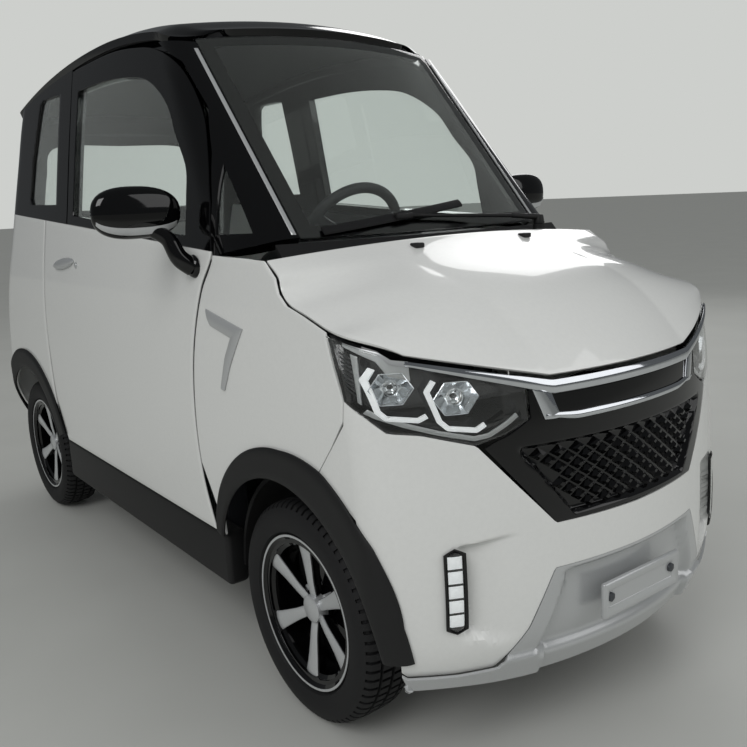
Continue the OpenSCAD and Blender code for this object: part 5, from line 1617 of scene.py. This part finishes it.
# %% Steering wheel, modelled at the origin and then tilted onto its column
ring_r, ring_t, arm_w = 155, 14.5, 30
clear()
bpy.ops.mesh.primitive_torus_add(major_radius=ring_r * MM, minor_radius=ring_t * MM, major_segments=96,
                                 minor_segments=20)
wheel = bpy.context.object
wheel.name = "steering_wheel_shell"


def wheel_arm_place(u, v, a):
    along, across = lerp(30, ring_r - 3, u), (v - 0.5) * arm_w
    return (along * cos(a) - across * sin(a), along * sin(a) + across * cos(a), -4 + 6 * (1 - u) - 8 * (v - 0.5) ** 2)


arms = [laid("wheel_arm", 12, 6, lambda u, v: wheel_arm_place(u, v, a), 8, 1.5, middle=(0, 0, -400))
        for a in (pi / 3, pi, 5 * pi / 3)]
clear()
bpy.ops.mesh.primitive_uv_sphere_add(segments=40, ring_count=20, radius=1)
pad = bpy.context.object
pad.data.transform(Matrix.Diagonal((50 * MM, 52 * MM, 15 * MM, 1)))
hub_back = rod("hub_back", (0, 0, -23), (0, 0, 0), 34, 44, 40, 3)
wheel = smooth(joined(wheel, pad, hub_back, *arms))
wheel.data.transform(Matrix.Translation(steer_at * MM) @ Matrix.Rotation(-radians(tilt), 4, "Y"))
place_piece(wheel, "steering_wheel", "dark_plastic", dark_plastic, "steering_wheel")

# %% [markdown]
# ### Pedals
# Two plates with grip ribs hang on stems. Through the glass they hardly show, so they are simple.

# %% Pedals
pedals = []
for y in (-60, 60):
    plate = cube("pedal", (dash_x - 42, y - 32, 300), (dash_x - 34, y + 32, 378), 3, 3)
    grip = [cube("pedal_rib", (dash_x - 45, y - 26, z), (dash_x - 41, y + 26, z + 8), 1.5)
            for z in (310, 326, 342, 358)]
    stem = rod("pedal_stem", (dash_x - 36, y, 340), (dash_x + 2, y, 470), 7, None, 20, 1)
    pedals.append(joined(plate, stem, *grip))
pedal_pair = joined(*pedals)
pedal_pair.name = "pedals"
place_piece(pedal_pair, "body", "frame_steel", frame_steel)

# %% [markdown]
# ### Wiper
# The arm comes from a cap below the glass, and the blade follows the windscreen's curve. The jets sit on the
# bonnet's rule, so they touch it.

# %% Wiper and washer jets
wiper_y, reach_y, blade_y, blade_z = 318, -110, (-318, 92), (1054, 1098)
wiper_at = Vector((bonnet_rear_x - wiper_y ** 2 / 4200 - shut_gap - 24, wiper_y, screen_foot[1] - 6))
reach = Vector((nose_point(reach_y, 1075, -12, UPPER)[0], reach_y, 1077))
knee = lerp(wiper_at + Vector((0, 0, 22)), reach, 0.22)
cap = rod("wiper_set", wiper_at, wiper_at + Vector((0, 0, 24)), 15, 11, 40, 3)
arm = joined(rod("wiper_arm", wiper_at + Vector((0, 0, 18)), knee, 8, 6, 20, 1),
             rod("wiper_arm", knee, reach, 5, 4, 20, 1))


def blade_place(u, v):
    a = 2 * pi * v
    return nose_point(lerp(*blade_y, u), lerp(*blade_z, u) + 9 * cos(a), -6 - 5 * sin(a), UPPER)


blade = laid("wiper_blade", 40, 6, blade_place, 0, 0, closed=True)
clip = cube("blade_clip", reach + Vector((-8, -24, -8)), reach + Vector((8, 24, 6)), 3, 3)
place_piece(joined(cap, arm, blade, clip), "body", "black_plastic", black_plastic, "wiper")
jets = []
for u in (0.33, 0.67):
    at = bonnet_place(u, 0.08)
    jets.append(cube("washer_jets", at + Vector((-12, -12, -3)), at + Vector((12, 12, 8)), 3, 3))
place_piece(joined(*jets), "bonnet", "black_plastic", black_plastic)

# %% [markdown]
# ### Plate bracket
# A blank pressed holder with a sunken face, made by two insets, and two bolts.

# %% Plate bracket and its bolts
plate_half, bolt_y, bolt_z = 124, 99, 330
low, high = (Vector(c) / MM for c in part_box("plate_bracket"))
plate = cube("plate_bracket_shell", (low[0], -plate_half, low[2]), (high[0], plate_half, high[2] - 8), 5, 3)
select_faces(plate, lambda f: f.normal.x > 0.99 and f.area > 0.001)
bpy.ops.mesh.inset(thickness=14 * MM, depth=-4 * MM)
bpy.ops.mesh.inset(thickness=2 * MM, depth=-2 * MM)
bpy.ops.object.mode_set(mode="OBJECT")
place_piece(smooth(plate), "body", "silver_paint", silver_paint, "plate_bracket")
bolts = []
for y in (-bolt_y, bolt_y):
    bolts.append(rod("plate_bolts", (high[0] - 8, y, bolt_z), (high[0] - 1, y, bolt_z), 11, 10, 6, 1.5))
    bolts.append(rod("plate_washer", (high[0] - 9, y, bolt_z), (high[0] - 6, y, bolt_z), 15, 15, 32, 0.8))
place_piece(joined(*bolts), "body", "frame_steel", cast_steel)

# %% [markdown]
# ### Tail lamps
# Tall red lenses beside the tailgate, guessed, that bulge off the skin.

# %% Tail lamps
tail_lamp_z, tail_lamp_y = (650, 930), (10, 46)


def tail_lamp_place(u, v):
    z = lerp(*tail_lamp_z, v)
    bulge = min(1, 3 * sin(pi * u)) * min(1, 4 * sin(pi * v)) ** 0.5
    return tail_point(hatch_half(z) + lerp(*tail_lamp_y, u), z, -2 - 6 * bulge)


tail = both(laid("tail_lamp_lenses", 16, 48, tail_lamp_place, 4, 1))
place_piece(tail, "body", "red_lens", red_lens, "tail_lamps")

# %% [markdown]
# ### Running gear
# Frame, suspension, axle and battery are hidden for the most part. Their CAD shapes are kept and only get a finish.

# %% CAD parts that stay as they are, with their finishes
STAY = {
    frame_steel: ("chassis_frame", "wishbones", "shock_absorbers", "steering_rack", "hinges"),
    cast_steel: ("rear_axle", "knuckle_right", "knuckle_left"),
    black_plastic: ("wheel_tubs", "cowl"),
    dark_plastic: ("floor_pan",),
    battery_case: ("battery_pack",),
}
for finish, names in STAY.items():
    for name in names:
        dress(nodes[name], finish)
shown = [n for n, o in nodes.items() if not o.hide_render]
print("CAD parts shown:", shown)

# %% [markdown]
# ## Stage
# A pale floor, a soft sky and three large lamps, and the camera where the photograph was taken from.

# %% Floor and light
clear()
floor_size = 160
bpy.ops.mesh.primitive_plane_add(size=floor_size)
floor = bpy.context.object
floor.name = "floor"
dress(floor, grained("pale_floor", "#bfc0bc", "#bbbcb8", "#c4c5c1", 400, 0.1, 0.05, Roughness=0.6))
world = bpy.data.worlds.new("studio")
bpy.context.scene.world = world
world.use_nodes = True
tree = world.node_tree
tree.nodes.clear()
ray = add_node(tree, "ShaderNodeLightPath").outputs
soft = add_node(tree, "ShaderNodeBackground", Color=linear("#eef0ef"), Strength=0.5)
dim = add_node(tree, "ShaderNodeBackground", Color=linear("#7d8082"), Strength=0.5)
backdrop = add_node(tree, "ShaderNodeBackground", Color=linear("#cdcfcc"), Strength=1.0)
direct = add_node(tree, "ShaderNodeMath", [(0, ray["Is Camera Ray"]), (1, ray["Is Transmission Ray"])],
                  operation="MAXIMUM")
mirrored_sky = add_node(tree, "ShaderNodeMixShader", [("Fac", ray["Is Glossy Ray"]), (1, soft.outputs[0]),
                                                      (2, dim.outputs[0])])
seen = add_node(tree, "ShaderNodeMixShader", [("Fac", direct.outputs[0]), (1, mirrored_sky.outputs[0]),
                                              (2, backdrop.outputs[0])])
add_node(tree, "ShaderNodeOutputWorld", [("Surface", seen.outputs[0])])


def lamp(name, at, aim, size, power):
    light = bpy.data.lights.new(name, "AREA")
    light.size, light.energy = size, power
    obj = bpy.data.objects.new(name, light)
    obj.location = at
    obj.rotation_euler = (Vector(aim) - Vector(at)).to_track_quat("-Z", "Y").to_euler()
    bpy.context.scene.collection.objects.link(obj)


lamp("key", (3.0, -4.5, 4.5), (0.3, 0, 0.7), 3.0, 120)
lamp("fill", (5.0, 3.0, 3.5), (0.3, 0, 0.7), 4.0, 60)
lamp("back", (-3.0, 4.5, 3.6), (0, 0, 0.8), 3.0, 60)

# %% [markdown]
# ### Camera
# The lens, the place and the three angles were solved from points of known size in the photograph.

# %% Camera
yaw, pitch, roll = 2.501204, -0.205271, -0.049102
camera_at = Vector((2.3175, -1.3678, 1.1194))
look = Vector((cos(pitch) * cos(yaw), cos(pitch) * sin(yaw), sin(pitch)))
right = look.cross(Vector((0, 0, 1))).normalized()
up = right.cross(look)
right, up = cos(roll) * right + sin(roll) * up, -sin(roll) * right + cos(roll) * up
lens = bpy.data.cameras.new("camera")
lens.lens, lens.sensor_width = 40.51, 36
camera = bpy.data.objects.new("camera", lens)
camera.matrix_world = Matrix.Translation(camera_at) @ Matrix((right, up, -look)).transposed().to_4x4()
bpy.context.scene.collection.objects.link(camera)
bpy.context.scene.camera = camera
bpy.context.scene.view_settings.view_transform = "Standard"
print("camera at", tuple(camera_at), "lens", lens.lens)

# %% [markdown]
# ### The end

# %% The end
bpy.context.view_layer.update()
